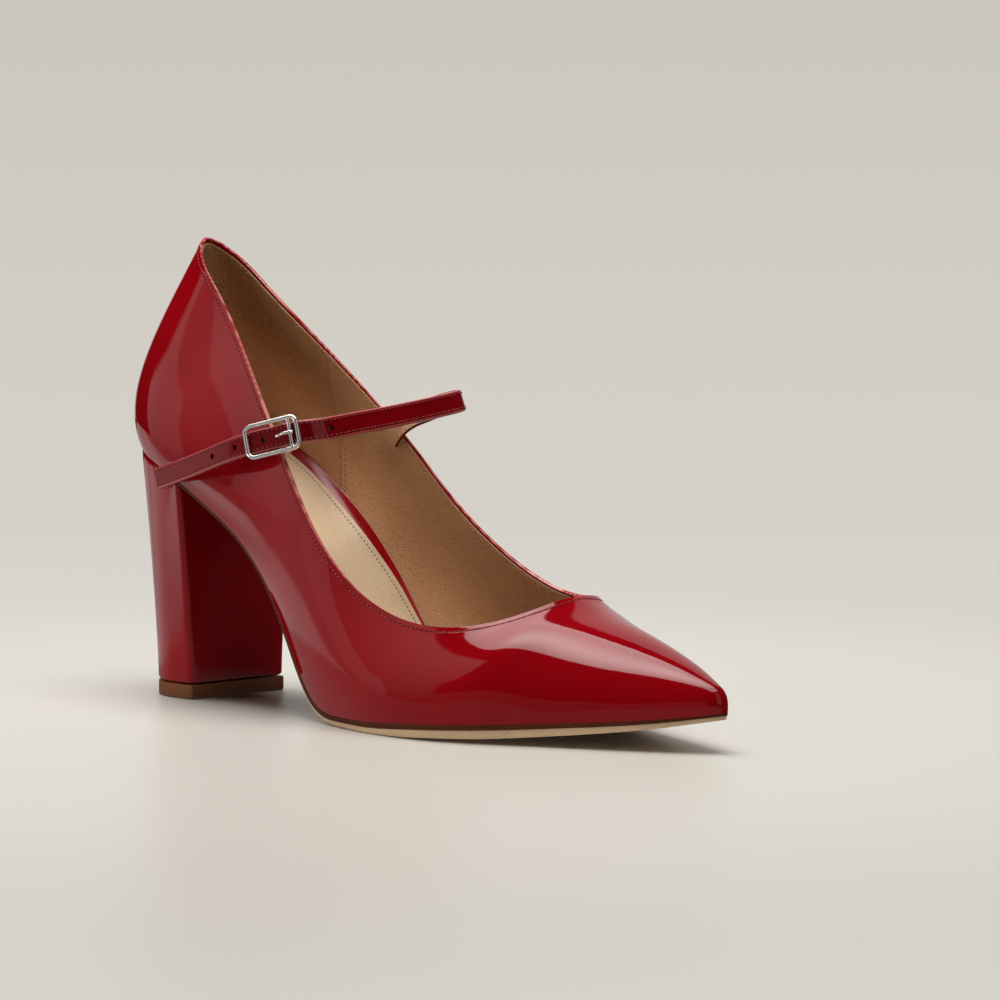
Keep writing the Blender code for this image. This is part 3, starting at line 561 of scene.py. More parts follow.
THROAT = np.array(RIDGE[0]) * MM
FAIRED_ROUND_THROAT = 27.0 * MM
SMOOTHED_ROUND_THROAT = 48.0 * MM
SMOOTHING_HOLD = 0.10
points = np.array([vertex.co for vertex in forme.data.vertices])
neighbours = [[] for _ in points]
for a, b in forme.data.edge_keys:
    neighbours[a].append(b)
    neighbours[b].append(a)
uses = {}
for polygon in forme.data.polygons:
    for key in polygon.edge_keys:
        uses[key] = uses.get(key, 0) + 1
edge = {index for key, faces in uses.items() if faces == 1 for index in key}
for reach, hold in ((FAIRED_ROUND_THROAT, 0.0), (SMOOTHED_ROUND_THROAT, SMOOTHING_HOLD)):
    free = [index for index, point in enumerate(points)
            if np.linalg.norm(point - THROAT) < reach and index not in edge]
    fair(points, neighbours, free, edge, hold)
forme.data.vertices.foreach_set("co", points.ravel())
finish_modifier(forme, "SUBSURF", levels=2, render_levels=2, boundary_smooth="PRESERVE_CORNERS")
bpy.ops.object.shade_smooth()

# Topline as even steps of a closed curve, and each skin point's distance from it.
TOPLINE_STEPS = 1200
topline_length = last.topline.knots[-1]
topline_points = last.topline.at(np.linspace(0.0, topline_length, TOPLINE_STEPS,
                                             endpoint=False)) * MM


def mark_distance(piece, name, line):
    """Stores each point's distance from a line, in millimetres."""
    places = np.empty(len(piece.data.vertices) * 3)
    piece.data.vertices.foreach_get("co", places)
    places = places.reshape(-1, 3)
    nearest = np.full(len(places), 1.0)
    for start in range(0, len(line), 100):
        gaps = np.linalg.norm(places[:, None] - line[None, start:start + 100], axis=2)
        nearest = np.minimum(nearest, gaps.min(axis=1))
    held = piece.data.attributes.new(name, "FLOAT", "POINT")
    held.data.foreach_set("value", nearest / MM)


mark_distance(forme, "from_topline", topline_points)


def copy_of(piece, name):
    twin = piece.copy()
    twin.data = piece.data.copy()
    twin.name = twin.data.name = name
    bpy.context.scene.collection.objects.link(twin)
    return twin


skin = copy_of(forme, "upper_skin")
finish_modifier(skin, "SOLIDIFY", thickness=SKIN_WALL * MM, offset=-1.0)
rounded(skin, 0.43, 4)
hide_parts("upper")
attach(skin, "root")

RED = (0.262, 0.0012, 0.0045)
# Painted shade: the strap's red is the skin's red made darker for its face that turns up to the
# lights.
STRAP_RED_SHADED = (0.165, 0.0012, 0.004)
LACQUER_GLOSS = 0.36
SEAM_FOOT_X = 61.4 * MM
SEAM_SLANT = 0.33
SIDE_SEAM_LINE = (SEAM_FOOT_X - 0.18 * MM, SEAM_FOOT_X + 0.18 * MM)
BACK_SEAM_LINE = (-0.16 * MM, 0.16 * MM)
BACK_OF_HEEL, INNER_SIDE = (-0.1, 0.012), (0.005, 0.1)
MARGIN_GROOVE = (1.2, 1.7)
FOLD_HIGHLIGHT_PINK = (0.62, 0.20, 0.19)


def noise(tree, place, scale, detail, roughness=0.5):
    return put(tree, "TexNoise", {"Vector": place, "Scale": scale, "Detail": detail,
                                  "Roughness": roughness}).outputs["Fac"]


def feed(tree, shader, **outputs):
    """Links outputs to the shader's inputs, named with _ for a space."""
    for name, output in outputs.items():
        tree.links.new(output, shader.inputs[name.replace("_", " ")])


def bumped(tree, height, depth, strength=1.0, over=(), **settings):
    """A surface normal from a height in the material and a depth in millimetres."""
    return put(tree, "Bump", {"Height": height, "Strength": strength, "Distance": depth * MM,
                              **dict(over)}, **settings).outputs["Normal"]


def tinted(tree, colour, tint, share, blend="MIX"):
    """A colour mixed with, or multiplied by, another."""
    return put(tree, "Mix", {"Factor": share, "A": colour, "B": tint}, data_type="RGBA",
               blend_type=blend).outputs["Result"]


def new_paint(name):
    """A material, its nodes, its shader and the place on the piece."""
    paint = bpy.data.materials.new(name)
    tree, shader = nodes_of(paint)
    return paint, tree, shader, put(tree, "TexCoord").outputs["Object"]


WAVE, WAVE_DEPTH = 55.0, 0.13
PEEL, PEEL_SHARE = 260.0, 0.10
GROOVE_DEPTH = 0.035
DEEP_SHARE = 0.86


def lacquer(name, colour, groove=None, gloss=(0.035, 0.07), fold=None):
    """Lacquered leather: deep colour under a clear even gloss that is slightly wavy, with a painted
    highlight mixed in where a fold is given.
    """
    paint, tree, shader, place = new_paint(name)
    wavy = sum_of(tree, "MULTIPLY_ADD", noise(tree, place, PEEL, 2.0), PEEL_SHARE,
                  noise(tree, place, WAVE, 1.0, 0.4))
    normal = bumped(tree, wavy, WAVE_DEPTH)
    if groove:
        normal = bumped(tree, groove(tree, place), GROOVE_DEPTH, over={"Normal": normal},
                        invert=True)
    deep = tuple(DEEP_SHARE * part for part in colour)
    hue = ramp(tree, noise(tree, place, 30.0, 3.0), ((0.35, deep), (0.65, colour)))
    # Painted highlight: the fold's colour is mixed towards a pale pink.
    if fold:
        hue = tinted(tree, hue, (*FOLD_HIGHLIGHT_PINK, 1.0), fold(tree))
    handled = spread(tree, noise(tree, place, 90.0, 4.0), 0.35, 0.75, gloss)
    feed(tree, shader, Base_Color=hue, Roughness=handled, Normal=normal)
    shader.inputs["Specular IOR Level"].default_value = LACQUER_GLOSS
    return paint


def upper_groove(tree, place):
    """1 along the stitched margin, the back seam and the inner side seam."""
    from_edge = put(tree, "Attribute", attribute_name="from_topline").outputs["Fac"]
    margin = between(tree, from_edge, *MARGIN_GROOVE, 0.15)
    x, y, z = sides_of(tree, place)
    back = sum_of(tree, "MULTIPLY", between(tree, y, *BACK_SEAM_LINE, 0.1 * MM),
                  between(tree, x, *BACK_OF_HEEL, 0.5 * MM))
    off_seam = sum_of(tree, "MULTIPLY_ADD", z, -SEAM_SLANT, x)
    side = sum_of(tree, "MULTIPLY",
                  between(tree, off_seam, *SIDE_SEAM_LINE, 0.1 * MM),
                  between(tree, y, *INNER_SIDE, 0.5 * MM))
    return sum_of(tree, "MAXIMUM", margin, sum_of(tree, "MAXIMUM", back, side))


def topline_fold_highlight(tree):
    """1 on the fold of the topline, where a pale pink painted highlight stands for the light that
    the rounded fold catches.
    """
    from_edge = put(tree, "Attribute", attribute_name="from_topline").outputs["Fac"]
    return between(tree, from_edge, -1.0, 0.10, 0.12)


skin.data.materials.append(lacquer("red_patent", RED, upper_groove, fold=topline_fold_highlight))

# ---- Lining ----------------------------------------------------------------
# Tan pebbled leather glued inside the skin and stitched to it just under the
# folded topline, which stands a little above it. A darker heel grip is let in
# at the back.
LINING_DEPTH = 0.93
LINING_WALL = 0.6

lining = copy_of(forme, "lining")
only(lining)
bpy.ops.object.mode_set(mode="EDIT")
bpy.ops.mesh.select_all(action="SELECT")
bpy.ops.transform.shrink_fatten(value=-LINING_DEPTH * MM)
bpy.ops.mesh.select_all(action="DESELECT")
bpy.ops.mesh.select_mode(type="VERT")
bpy.ops.mesh.select_non_manifold(use_wire=False, use_multi_face=False,
                                 use_non_contiguous=False, use_verts=False)
bpy.ops.mesh.delete(type="VERT")
bpy.ops.object.mode_set(mode="OBJECT")
finish_modifier(lining, "SOLIDIFY", thickness=LINING_WALL * MM, offset=-1.0)
shade(lining, 50)


def pebble_grain():
    """Group: the pebbles of milled leather, as a height and a shade that varies over them."""
    group = bpy.data.node_groups.new("pebble_grain", "ShaderNodeTree")
    for name, way, kind in (("Place", "INPUT", "Vector"), ("Pebbles", "INPUT", "Float"),
                            ("Height", "OUTPUT", "Float"), ("Shade", "OUTPUT", "Float")):
        group.interface.new_socket(name, in_out=way, socket_type="NodeSocket" + kind)
    start = group.nodes.new("NodeGroupInput").outputs
    end = group.nodes.new("NodeGroupOutput").inputs
    drift = put(group, "TexNoise", {"Vector": start["Place"], "Scale": 300.0,
                                    "Detail": 2.0}).outputs["Color"]
    loose = put(group, "Mix", {"Factor": 0.0012, "A": start["Place"], "B": drift},
                data_type="VECTOR").outputs["Result"]
    cells = put(group, "TexVoronoi", {"Vector": loose, "Scale": start["Pebbles"]},
                feature="SMOOTH_F1").outputs["Distance"]
    domed = sum_of(group, "MULTIPLY_ADD", cells, -1.0, 1.0)
    fine, blotch = (noise(group, start["Place"], *kind) for kind in ((2600.0, 3.0), (38.0, 2.0)))
    group.links.new(sum_of(group, "MULTIPLY_ADD", fine, 0.35, domed), end["Height"])
    group.links.new(sum_of(group, "MULTIPLY_ADD", domed, 0.5, blotch), end["Shade"])
    return group


PEBBLE_GRAIN = pebble_grain()


def leather_paint(name, dark, light, pebbles, depth, roughness, gloss=0.5):
    """Unlacquered leather between a dark and a light colour, with its grain."""
    paint, tree, shader, place = new_paint(name)
    grain = tree.nodes.new("ShaderNodeGroup")
    grain.node_tree = PEBBLE_GRAIN
    grain.inputs["Pebbles"].default_value = pebbles
    tree.links.new(place, grain.inputs["Place"])
    height, shade_of_grain = grain.outputs
    colour = ramp(tree, shade_of_grain, ((0.6, dark), (1.0, light)), "LINEAR")
    feed(tree, shader, Base_Color=colour, Normal=bumped(tree, height, depth),
         Roughness=spread(tree, height, 0.3, 1.2, (roughness + 0.15, roughness - 0.06)))
    shader.inputs["Specular IOR Level"].default_value = gloss
    return paint, tree, shader, colour


LINING_DARK, LINING_LIGHT = (0.69, 0.42, 0.255), (0.82, 0.51, 0.32)
GRIP_LINE_X = 37.0 * MM
GRIP_TONE = (0.86, 0.82, 0.78, 1.0)
# Painted shade, darker towards the toe, and painted light from the sock, fading up the wall:  share
# of the span, tone
FORWARD_SPAN = (0.0, 0.16)
FORWARD_PAINTED_SHADE = ((0.3, (1.0, 1.0, 1.0)), (0.5, (0.83, 0.82, 0.82)), (0.66, (0.46, 0.34, 0.28)),
                 (0.9, (0.185, 0.11, 0.08)), (1.0, (0.15, 0.08, 0.055)))
WALL_SLANT = 1.05
WALL_SPAN = (0.104, 0.142)
WALL_PAINTED_LIGHT = ((0.0, (1.0, 1.0, 1.0)), (0.34, (0.77, 0.715, 0.63)), (0.7, (0.60, 0.54, 0.455)),
              (1.0, (0.63, 0.57, 0.48)))
lining_leather, tree, shader, colour = leather_paint("tan_lining", LINING_DARK, LINING_LIGHT,
                                                     1350.0, 0.20, 0.5)
x, y, z = sides_of(tree, put(tree, "TexCoord").outputs["Object"])
in_grip = spread(tree, x, GRIP_LINE_X + 0.2 * MM, GRIP_LINE_X - 0.2 * MM)
up_the_wall = sum_of(tree, "MULTIPLY_ADD", x, WALL_SLANT, z)
tones = [tinted(tree, (1, 1, 1, 1), GRIP_TONE, in_grip)]
tones += [ramp(tree, spread(tree, measure, *span), stops, "LINEAR")
          for measure, span, stops in ((x, FORWARD_SPAN, FORWARD_PAINTED_SHADE),
                                       (up_the_wall, WALL_SPAN, WALL_PAINTED_LIGHT))]
# These tones paint shade into the toe and light from the sock at the wall's foot.
for tone in tones:
    colour = tinted(tree, colour, tone, 1.0, "MULTIPLY")
feed(tree, shader, Base_Color=colour)
lining.data.materials.append(lining_leather)
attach(lining, "root")

# ---- Stitches of the upper -------------------------------------------------
# Waxed thread that sews skin to lining round the topline, red outside and
# tan inside, and closes the heel grip and the inner side seam.
STITCH_PITCH = 1.45 * MM
STITCH_LENGTH = 0.85 * MM
STITCH_WIDTH = 0.44 * MM
TOPLINE_MARGIN = 1.45 * MM
INNER_FACE = 1.55 * MM
GRIP_SEAM_SPAN = (4.0 * MM, 46.0 * MM)
SIDE_SEAM_TOP, SIDE_SEAM_FOOT = 0.062, 0.022
BESIDE_SEAM = 1.2 * MM
CLEAR_OF_TOPLINE = 3.0 * MM

bpy.ops.object.select_all(action="DESELECT")
bpy.ops.mesh.primitive_uv_sphere_add(segments=6, ring_count=5, radius=0.5)
one_stitch = bpy.context.object
bpy.ops.object.mode_set(mode="EDIT")
bpy.ops.mesh.select_all(action="SELECT")
bpy.ops.transform.rotate(value=math.pi / 2, orient_axis="Y", center_override=(0.0, 0.0, 0.0))
bpy.ops.transform.resize(value=(STITCH_LENGTH, STITCH_WIDTH, STITCH_WIDTH))
bpy.ops.object.mode_set(mode="OBJECT")
stitch_points = np.array([vertex.co for vertex in one_stitch.data.vertices])
# The primitive numbers its points anew each run, so they are put in a fixed order.
fixed_order = np.lexsort(np.round(stitch_points / STITCH_LENGTH, 3).T).tolist()
stitch_faces = [[fixed_order.index(index) for index in polygon.vertices]
                for polygon in one_stitch.data.polygons]
stitch_faces = sorted(face[face.index(min(face)):] + face[:face.index(min(face))]
                      for face in stitch_faces)
stitch_points = stitch_points[fixed_order]
bpy.data.objects.remove(one_stitch)


def sewn(name, places, paint, share=(1.0, 1.0, 1.0)):
    """One piece of stitches, each at a place given as its point, its run and its outward."""
    points, faces = [], []
    shape = stitch_points * share
    for place, run, outward in places:
        run, outward = unit(run), unit(outward)
        turned = (shape[:, :1] * run + shape[:, 1:2] * np.cross(outward, run)
                  + shape[:, 2:] * outward)
        first = len(points)
        points.extend(turned + place)
        faces.extend(tuple(first + index for index in face) for face in stitch_faces)
    piece = made_mesh(name, points, faces)
    only(piece)
    bpy.ops.object.shade_smooth()
    piece.data.materials.append(paint)
    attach(piece, "root")
    return piece


def thread_paint(name, colour):
    """Waxed thread with its twist."""
    paint, tree, shader, place = new_paint(name)
    twist = noise(tree, place, 2400.0, 2.0)
    dim = tuple(0.55 * part for part in colour)
    feed(tree, shader, Base_Color=ramp(tree, twist, ((0.3, dim), (0.7, colour))),
         Normal=bumped(tree, twist, 0.08, 0.8))
    shader.inputs["Roughness"].default_value = 0.5
    shader.inputs["Specular IOR Level"].default_value = 0.12
    return paint


red_thread = thread_paint("red_thread", (0.44, 0.060, 0.070))
# Dark dots between the stitches are painted shade for the needle holes.
hole_shade = thread_paint("needle_hole_shade", (0.10, 0.003, 0.006))
NEEDLE_HOLE = (0.73, 1.4, 0.4)
tan_thread = thread_paint("tan_thread", (0.46, 0.29, 0.16))


def surface_of(piece):
    """The piece's faces, ready to be asked for the nearest point."""
    points = [vertex.co for vertex in piece.data.vertices]
    return BVHTree.FromPolygons(points, [tuple(face.vertices) for face in piece.data.polygons])


def nearest(surface, point):
    place, outward, _, _ = surface.find_nearest(Vector(point))
    return np.array(place), np.array(outward)


forme_surface = surface_of(forme)


def line_on_skin(points, runs, margin):
    """Places a margin away from a line on the skin, to its downhill side."""
    places = []
    for point, run in zip(points, runs):
        _, outward = nearest(forme_surface, point)
        place, outward = nearest(forme_surface, point + margin * unit(np.cross(run, outward)))
        places.append((place, run - outward * np.dot(run, outward), outward))
    return places


count = round(topline_length * MM / STITCH_PITCH)
steps = np.linspace(0.0, topline_length, count, endpoint=False)
edge_places, edge_holes = (
    line_on_skin(last.topline.at(along) * MM, unit(last.topline.rate(along)), TOPLINE_MARGIN)
    for along in (steps, steps + 0.5 * topline_length / count))
sewn("topline_stitches", edge_places, red_thread)
# Dots of painted shade where the needle holes are.
sewn("topline_hole_shades", edge_holes, hole_shade, NEEDLE_HOLE)
sewn("lining_stitches", [(place - outward * INNER_FACE, run, -outward)
                         for place, run, outward in edge_places], tan_thread)


def down_lining(x, side):
    """Places on the lining down from the topline at one x, on the side given by a sign."""
    near = topline_points[(np.abs(topline_points[:, 0] - x) < 1.5 * MM)
                          & (topline_points[:, 1] * side > 0)]
    top = near[np.argmin(np.abs(near[:, 0] - x))]
    places = []
    run = np.array((0.0, 0.0, -1.0))
    for step in np.arange(*GRIP_SEAM_SPAN, STITCH_PITCH):
        place, outward = nearest(forme_surface, top + run * step)
        places.append((place - outward * INNER_FACE, run - outward * np.dot(run, outward),
                       -outward))
    return places


for side, name in ((1.0, "inner"), (-1.0, "outer")):
    seam = [place for offset in (-1.0, 1.0)
            for place in down_lining(GRIP_LINE_X + offset * MM, side)]
    sewn("grip_stitches_" + name, seam, tan_thread)

seam = []
for z in np.arange(SIDE_SEAM_TOP, SIDE_SEAM_FOOT, -STITCH_PITCH):
    x = SEAM_FOOT_X + SEAM_SLANT * z + BESIDE_SEAM
    place, outward, _, _ = forme_surface.ray_cast(Vector((x, 0.1, z)), Vector((0.0, -1.0, 0.0)))
    if place is None or np.linalg.norm(topline_points - place, axis=1).min() < CLEAR_OF_TOPLINE:
        continue
    run, outward = np.array((SEAM_SLANT, 0.0, 1.0)), np.array(outward)
    seam.append((np.array(place), run - outward * np.dot(run, outward), outward))
sewn("side_seam_stitches", seam, red_thread)

# ---- Insole ----------------------------------------------------------------
# Moulded insole that cups up to the walls, covered in the red patent, with a
# sock of cream leather glued on and stitched inside its edge. The cover's red is
# painted brighter than the skin's: painted light on a rim that lies in shade.
RIM_RISE = 7.8
RIM_RISE_FORE = 7.0
BED_RISE = 2.5
CUP_POWER = 4.0
SOCK_SHARE = (0.86, 0.965)
RIM_FADE = (40.0, 78.0)
RIM_THICKNESS = 1.0
SOCK_THICKNESS = 0.9
SOCK_STITCH_MARGIN = 1.15
INSIDE_LINING = 1.75
# Painted light: a brighter red than the skin's, for the rim in the shade inside the shoe.
RIM_RED_LIT = (0.40, 0.004, 0.008)
BED_STEPS = 38
SOCK_CREAM = (0.71, 0.545, 0.35), (0.82, 0.655, 0.455)
BED_FRONT_X, SOCK_FRONT_X, SOCK_SEAM_FRONT_X = 172.0, 168.0, 150.0


def lining_point(rib, foot, rise):
    """Point inside the lining, this high above the foot of a rib."""
    line = last_rib_points(rib)
    height = foot[2] + rise
    x, y = (np.interp(height, line[:, 2], line[:, column]) for column in (0, 1))
    run = last.feather.rate(rib_feather(rib))[0]
    outward = unit((run[1], -run[0]))
    return np.array((x - outward[0] * INSIDE_LINING, y - outward[1] * INSIDE_LINING, height))


def last_rib_points(rib):
    return ribs[rib % len(ribs)] / MM


def rib_feather(rib):
    row, step = divmod(rib % len(ribs), RIB_STEPS)
    return between_rows(last.feather.knots, row, step / RIB_STEPS)


def bottom_tilt(x):
    """How much longer a depth square to the last's bottom is when it is measured upright."""
    slope = BOTTOM.rate(x)[0, 0] if BOTTOM.at(x)[0, 0] > TREAD_HEIGHT else 0.0
    return math.hypot(1.0, slope)


def bed_across(step):
    """Ends of the bed on the outer and the inner wall at one pair of ribs, counted from the back
    seam, with the foot of the inner rib, how far forward it is, the tilt there and the rise."""
    inner, outer = len(ribs) // 2 - step, len(ribs) // 2 + step
    foot = last_rib_points(inner)[0]
    tilt = bottom_tilt(foot[0])
    fore = eased((foot[0] - RIM_FADE[0]) / (RIM_FADE[1] - RIM_FADE[0]))
    rise = (RIM_RISE * (1 - fore) + RIM_RISE_FORE * fore) * tilt
    ends = lining_point(outer, last_rib_points(outer)[0], rise), lining_point(inner, foot, rise)
    return ends, foot, fore, tilt, rise


def along_bed(ends, share):
    """Point between the bed's ends, at a share from -1 on the outer wall to 1 on the inner."""
    return ends[0] * (1 - share) / 2 + ends[1] * (1 + share) / 2


def cupped_bed(name, reach, lift, front_x):
    """Sheet across the last's bottom that rises to the walls, from the back to front_x."""
    shares = np.linspace(-1.0, 1.0, BED_STEPS + 1)
    rows = []
    for step in range(len(ribs) // 2):
        ends, foot, fore, tilt, rise = bed_across(step)
        if foot[0] > front_x:
            break
        low = BED_RISE * tilt
        row = []
        for share in shares * (reach[0] * (1 - fore) + reach[1] * fore):
            point = along_bed(ends, share)
            point[2] = (bottom_height(point[0]) + low + (rise - low) * abs(share) ** CUP_POWER
                        + lift * tilt)
            row.append(point * MM)
        rows.append(row)
    wide = len(shares)
    quads = [(r * wide + c, r * wide + c + 1, (r + 1) * wide + c + 1, (r + 1) * wide + c)
             for r in range(len(rows) - 1) for c in range(wide - 1)]
    piece = made_mesh(name, np.array(rows).reshape(-1, 3), quads)
    face_outward(piece, SAME_POINT)
    if piece.data.polygons[len(piece.data.polygons) // 2].normal.z < 0:
        piece.data.flip_normals()
    finish_modifier(piece, "SUBSURF", levels=2, render_levels=2,
                    boundary_smooth="PRESERVE_CORNERS")
    return piece


rim = cupped_bed("insole_cover", (1.0, 1.0), 0.0, BED_FRONT_X)
finish_modifier(rim, "SOLIDIFY", thickness=RIM_THICKNESS * MM, offset=-1.0)
rounded(rim, 0.35, 3)
rim.data.materials.append(lacquer("rim_patent", RIM_RED_LIT, gloss=(0.12, 0.18)))
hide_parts("insole")
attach(rim, "root")

sock = cupped_bed("sock", SOCK_SHARE, SOCK_THICKNESS, SOCK_FRONT_X)
sock_surface = surface_of(sock)
finish_modifier(sock, "SOLIDIFY", thickness=SOCK_THICKNESS * MM, offset=-1.0)
rounded(sock, 0.4, 3)
sock.data.materials.append(leather_paint("cream_sock", *SOCK_CREAM, 1500.0, 0.04, 0.42)[0])
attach(sock, "root")
sock_places = []
for side in (-1.0, 1.0):
    line = []
    for step in range(2, len(ribs) // 2):
        ends, foot, fore, _, _ = bed_across(step)
        if foot[0] > SOCK_SEAM_FRONT_X:
            break
        share = side * (SOCK_SHARE[0] * (1 - fore) + SOCK_SHARE[1] * fore)
        inward = unit((ends[0] - ends[1]) * side * (1, 1, 0))
        line.append((along_bed(ends, share) + inward * SOCK_STITCH_MARGIN) * MM)
    line = Spline(line)
    where = np.arange(0.0, line.knots[-1], STITCH_PITCH)
    for point, run in zip(line.at(where), unit(line.rate(where))):
        place, outward, _, _ = sock_surface.ray_cast(Vector(point + (0, 0, 0.02)),
                                                     Vector((0.0, 0.0, -1.0)))
        if place is not None:
            outward = np.array(outward)
            sock_places.append((np.array(place), run - outward * np.dot(run, outward), outward))
sewn("sock_stitches", sock_places, tan_thread)

# ---- Heel ------------------------------------------------------------------
# Block of moulded plastic, D-shaped in plan and flared to the seat, covered
# in the same red patent, whose two ends meet in a seam down the breast.
HEEL_BREAST_X = 14.0
HEEL_BASE_DEPTH = 27.0
HEEL_BASE_HALF_WIDTH = 18.5
HEEL_FLARE_POWER = 1.3
HEEL_LEVELS = 14
HEEL_OUTLINE_STEPS = 72
FEATHER_STEPS = 1600
BREAST_CORNER = 2.8
LIFT_CORNER = 1.2
LIFT_THICKNESS = 4.2
PARTING = 0.3


def evenly(points, count, short=0.0):
    """Points at equal steps along a line of points, this far short of either end."""
    points = np.asarray(points, float)
    lengths = np.concatenate([[0.0], np.cumsum(np.linalg.norm(np.diff(points, axis=0), axis=1))])
    where = np.linspace(short, lengths[-1] - short, count + 1)
    return np.stack([np.interp(where, lengths, column) for column in points.T], axis=1)


round_x = HEEL_BREAST_X - HEEL_BASE_DEPTH + HEEL_BASE_HALF_WIDTH
turn = np.radians(np.linspace(-90.0, -270.0, 60))
base_outline = evenly([(HEEL_BREAST_X, -HEEL_BASE_HALF_WIDTH),
                       *np.stack([round_x + HEEL_BASE_HALF_WIDTH * np.cos(turn),
                                  HEEL_BASE_HALF_WIDTH * np.sin(turn)], axis=1),
                       (HEEL_BREAST_X, HEEL_BASE_HALF_WIDTH)], HEEL_OUTLINE_STEPS)
feather_line = last.feather.at(np.linspace(0.0, last.feather.knots[-1], FEATHER_STEPS))
seat_line = []
for side in (-1.0, 1.0):
    line = feather_line[(feather_line[:, 1] * side >= 0) & (feather_line[:, 0] < 60)]
    line = line[np.argsort(line[:, 0])]
    corner_y = np.interp(HEEL_BREAST_X, line[:, 0], line[:, 1])
    line = [*line[line[:, 0] < HEEL_BREAST_X], (HEEL_BREAST_X, corner_y)]
    seat_line.extend(line[::-1] if side < 0 else line)


def rounded_breast(outline, radius):
    """The outline with the two corners where it meets the breast rounded off."""
    side = evenly(outline, HEEL_OUTLINE_STEPS, short=radius)
    t = np.linspace(0.0, 1.0, 8)[:-1, None]
    arcs = []
    for corner, other, first in ((outline[0], outline[-1], side[0]),
                                 (outline[-1], outline[0], side[-1])):
        on_breast = corner + unit(other - corner) * radius
        arcs.append((1 - t) ** 2 * on_breast + 2 * t * (1 - t) * corner + t * t * first)
    return np.vstack([arcs[0], side, arcs[1][::-1]])


lift_outline = rounded_breast(base_outline, LIFT_CORNER)
base_outline = rounded_breast(base_outline, BREAST_CORNER)
seat_outline = rounded_breast(evenly(seat_line, HEEL_OUTLINE_STEPS), BREAST_CORNER)
seat_height = np.array([bottom_height(x) - PARTING * bottom_tilt(x) for x, _ in seat_outline])


def stacked(name, rings, closed=False):
    """Body through rings of points, in millimetres: a closed loop, or with a face at each end."""
    count, wide = len(rings), len(rings[0])
    quads = [(r * wide + c, (r + 1) % count * wide + c, (r + 1) % count * wide + (c + 1) % wide,
              r * wide + (c + 1) % wide)
             for r in range(count if closed else count - 1) for c in range(wide)]
    if not closed:
        quads += [tuple(range(wide)), tuple(range(count * wide - 1, (count - 1) * wide - 1, -1))]
    piece = made_mesh(name, np.array(rings).reshape(-1, 3) * MM, quads)
    face_outward(piece)
    return piece


foot_height = LIFT_THICKNESS + PARTING
heel_rings = []
for level in np.linspace(0.0, 1.0, HEEL_LEVELS + 1):
    plan = base_outline + (seat_outline - base_outline) * level ** HEEL_FLARE_POWER
    heel_rings.append(np.column_stack([plan, foot_height + (seat_height - foot_height) * level]))
heel = stacked("heel_cover", heel_rings)
rounded(heel, 1.1, 4, 50, 45)


def breast_groove(tree, place):
    """1 along the seam of the cover, down the middle of the breast."""
    x, y, z = sides_of(tree, place)
    return sum_of(tree, "MULTIPLY", between(tree, y, -0.2 * MM, 0.2 * MM, 0.12 * MM),
                  between(tree, x, 0.012, 0.1, 0.5 * MM))


heel.data.materials.append(lacquer("heel_patent", RED, breast_groove))
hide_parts("heel_block")
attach(heel, "root")

# ---- Top lift --------------------------------------------------------------
# Brown rubber tip nailed under the heel, its edge ground flush and its tread
# face a little scuffed.
lift = stacked("lift", [np.column_stack([lift_outline, np.full(len(lift_outline), height)])
                        for height in (0.0, LIFT_THICKNESS / 2, LIFT_THICKNESS)])
rounded(lift, 0.45, 3, 50, 45)
lift.data.materials.append(leather_paint("brown_rubber", (0.115, 0.037, 0.011),
                                         (0.175, 0.062, 0.021), 4200.0, 0.05, 0.5, 0.3)[0])
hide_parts("top_lift")
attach(lift, "root")

# ---- Sole ------------------------------------------------------------------
# Thin leather outsole with a burnished dark edge, from the breast of the heel
# to the toe, and under the forepart a light natural leather tread.
GLUE_LINE = 0.03
FOREPART_INSET = 0.3
# Outsole, thinner in the waist and at the toe, and tread:  x  thickness
SOLE_LAYER = ((14.0, 0.9), (55.0, 1.0), (75.0, 1.4), (105.0, 1.5), (150.0, 1.5), (175.0, 1.2),
              (206.0, 0.6))
FOREPART_LAYER = ((72.0, 0.5), (92.0, 1.3), (105.0, 1.4), (121.0, 2.1), (145.0, 2.4),
                  (165.0, 2.1), (190.0, 1.5), (206.0, 1.0))
SOLE_STATIONS = 150
SHORT_OF_TOE = 0.02
TOWARDS_TOE = 1.6


def bottom_layer(name, inset, depth, thickness, start_x):
    """Sheet that follows the last's bottom from start_x to the toe."""
    where = np.linspace(0.0, last.feather.knots[-1], FEATHER_STEPS)
    run = last.feather.rate(where)
    line = last.feather.at(where) - unit(np.stack([run[:, 1], -run[:, 0]], axis=1)) * inset
    toe_x, toe_y = line[line[:, 0].argmax()]
    line = line[np.argsort(line[:, 0])]
    line = line[line[:, 0] > start_x - 10]
    sides = line[line[:, 1] <= toe_y], line[line[:, 1] >= toe_y]
    share = np.linspace(0.0, 1.0, SOLE_STATIONS + 1)
    rings = []
    for x in start_x + (toe_x - SHORT_OF_TOE - start_x) * (1 - (1 - share) ** TOWARDS_TOE):
        ys = np.linspace(*(np.interp(x, *side.T) for side in sides), 5)
        tilt = bottom_tilt(x)
        over, under = depth(x) * tilt, (depth(x) + thickness(x)) * tilt
        rings.append([(x, y, bottom_height(x) - over) for y in ys]
                     + [(x, y, bottom_height(x) - under) for y in ys[::-1]])
    return stacked(name, rings)


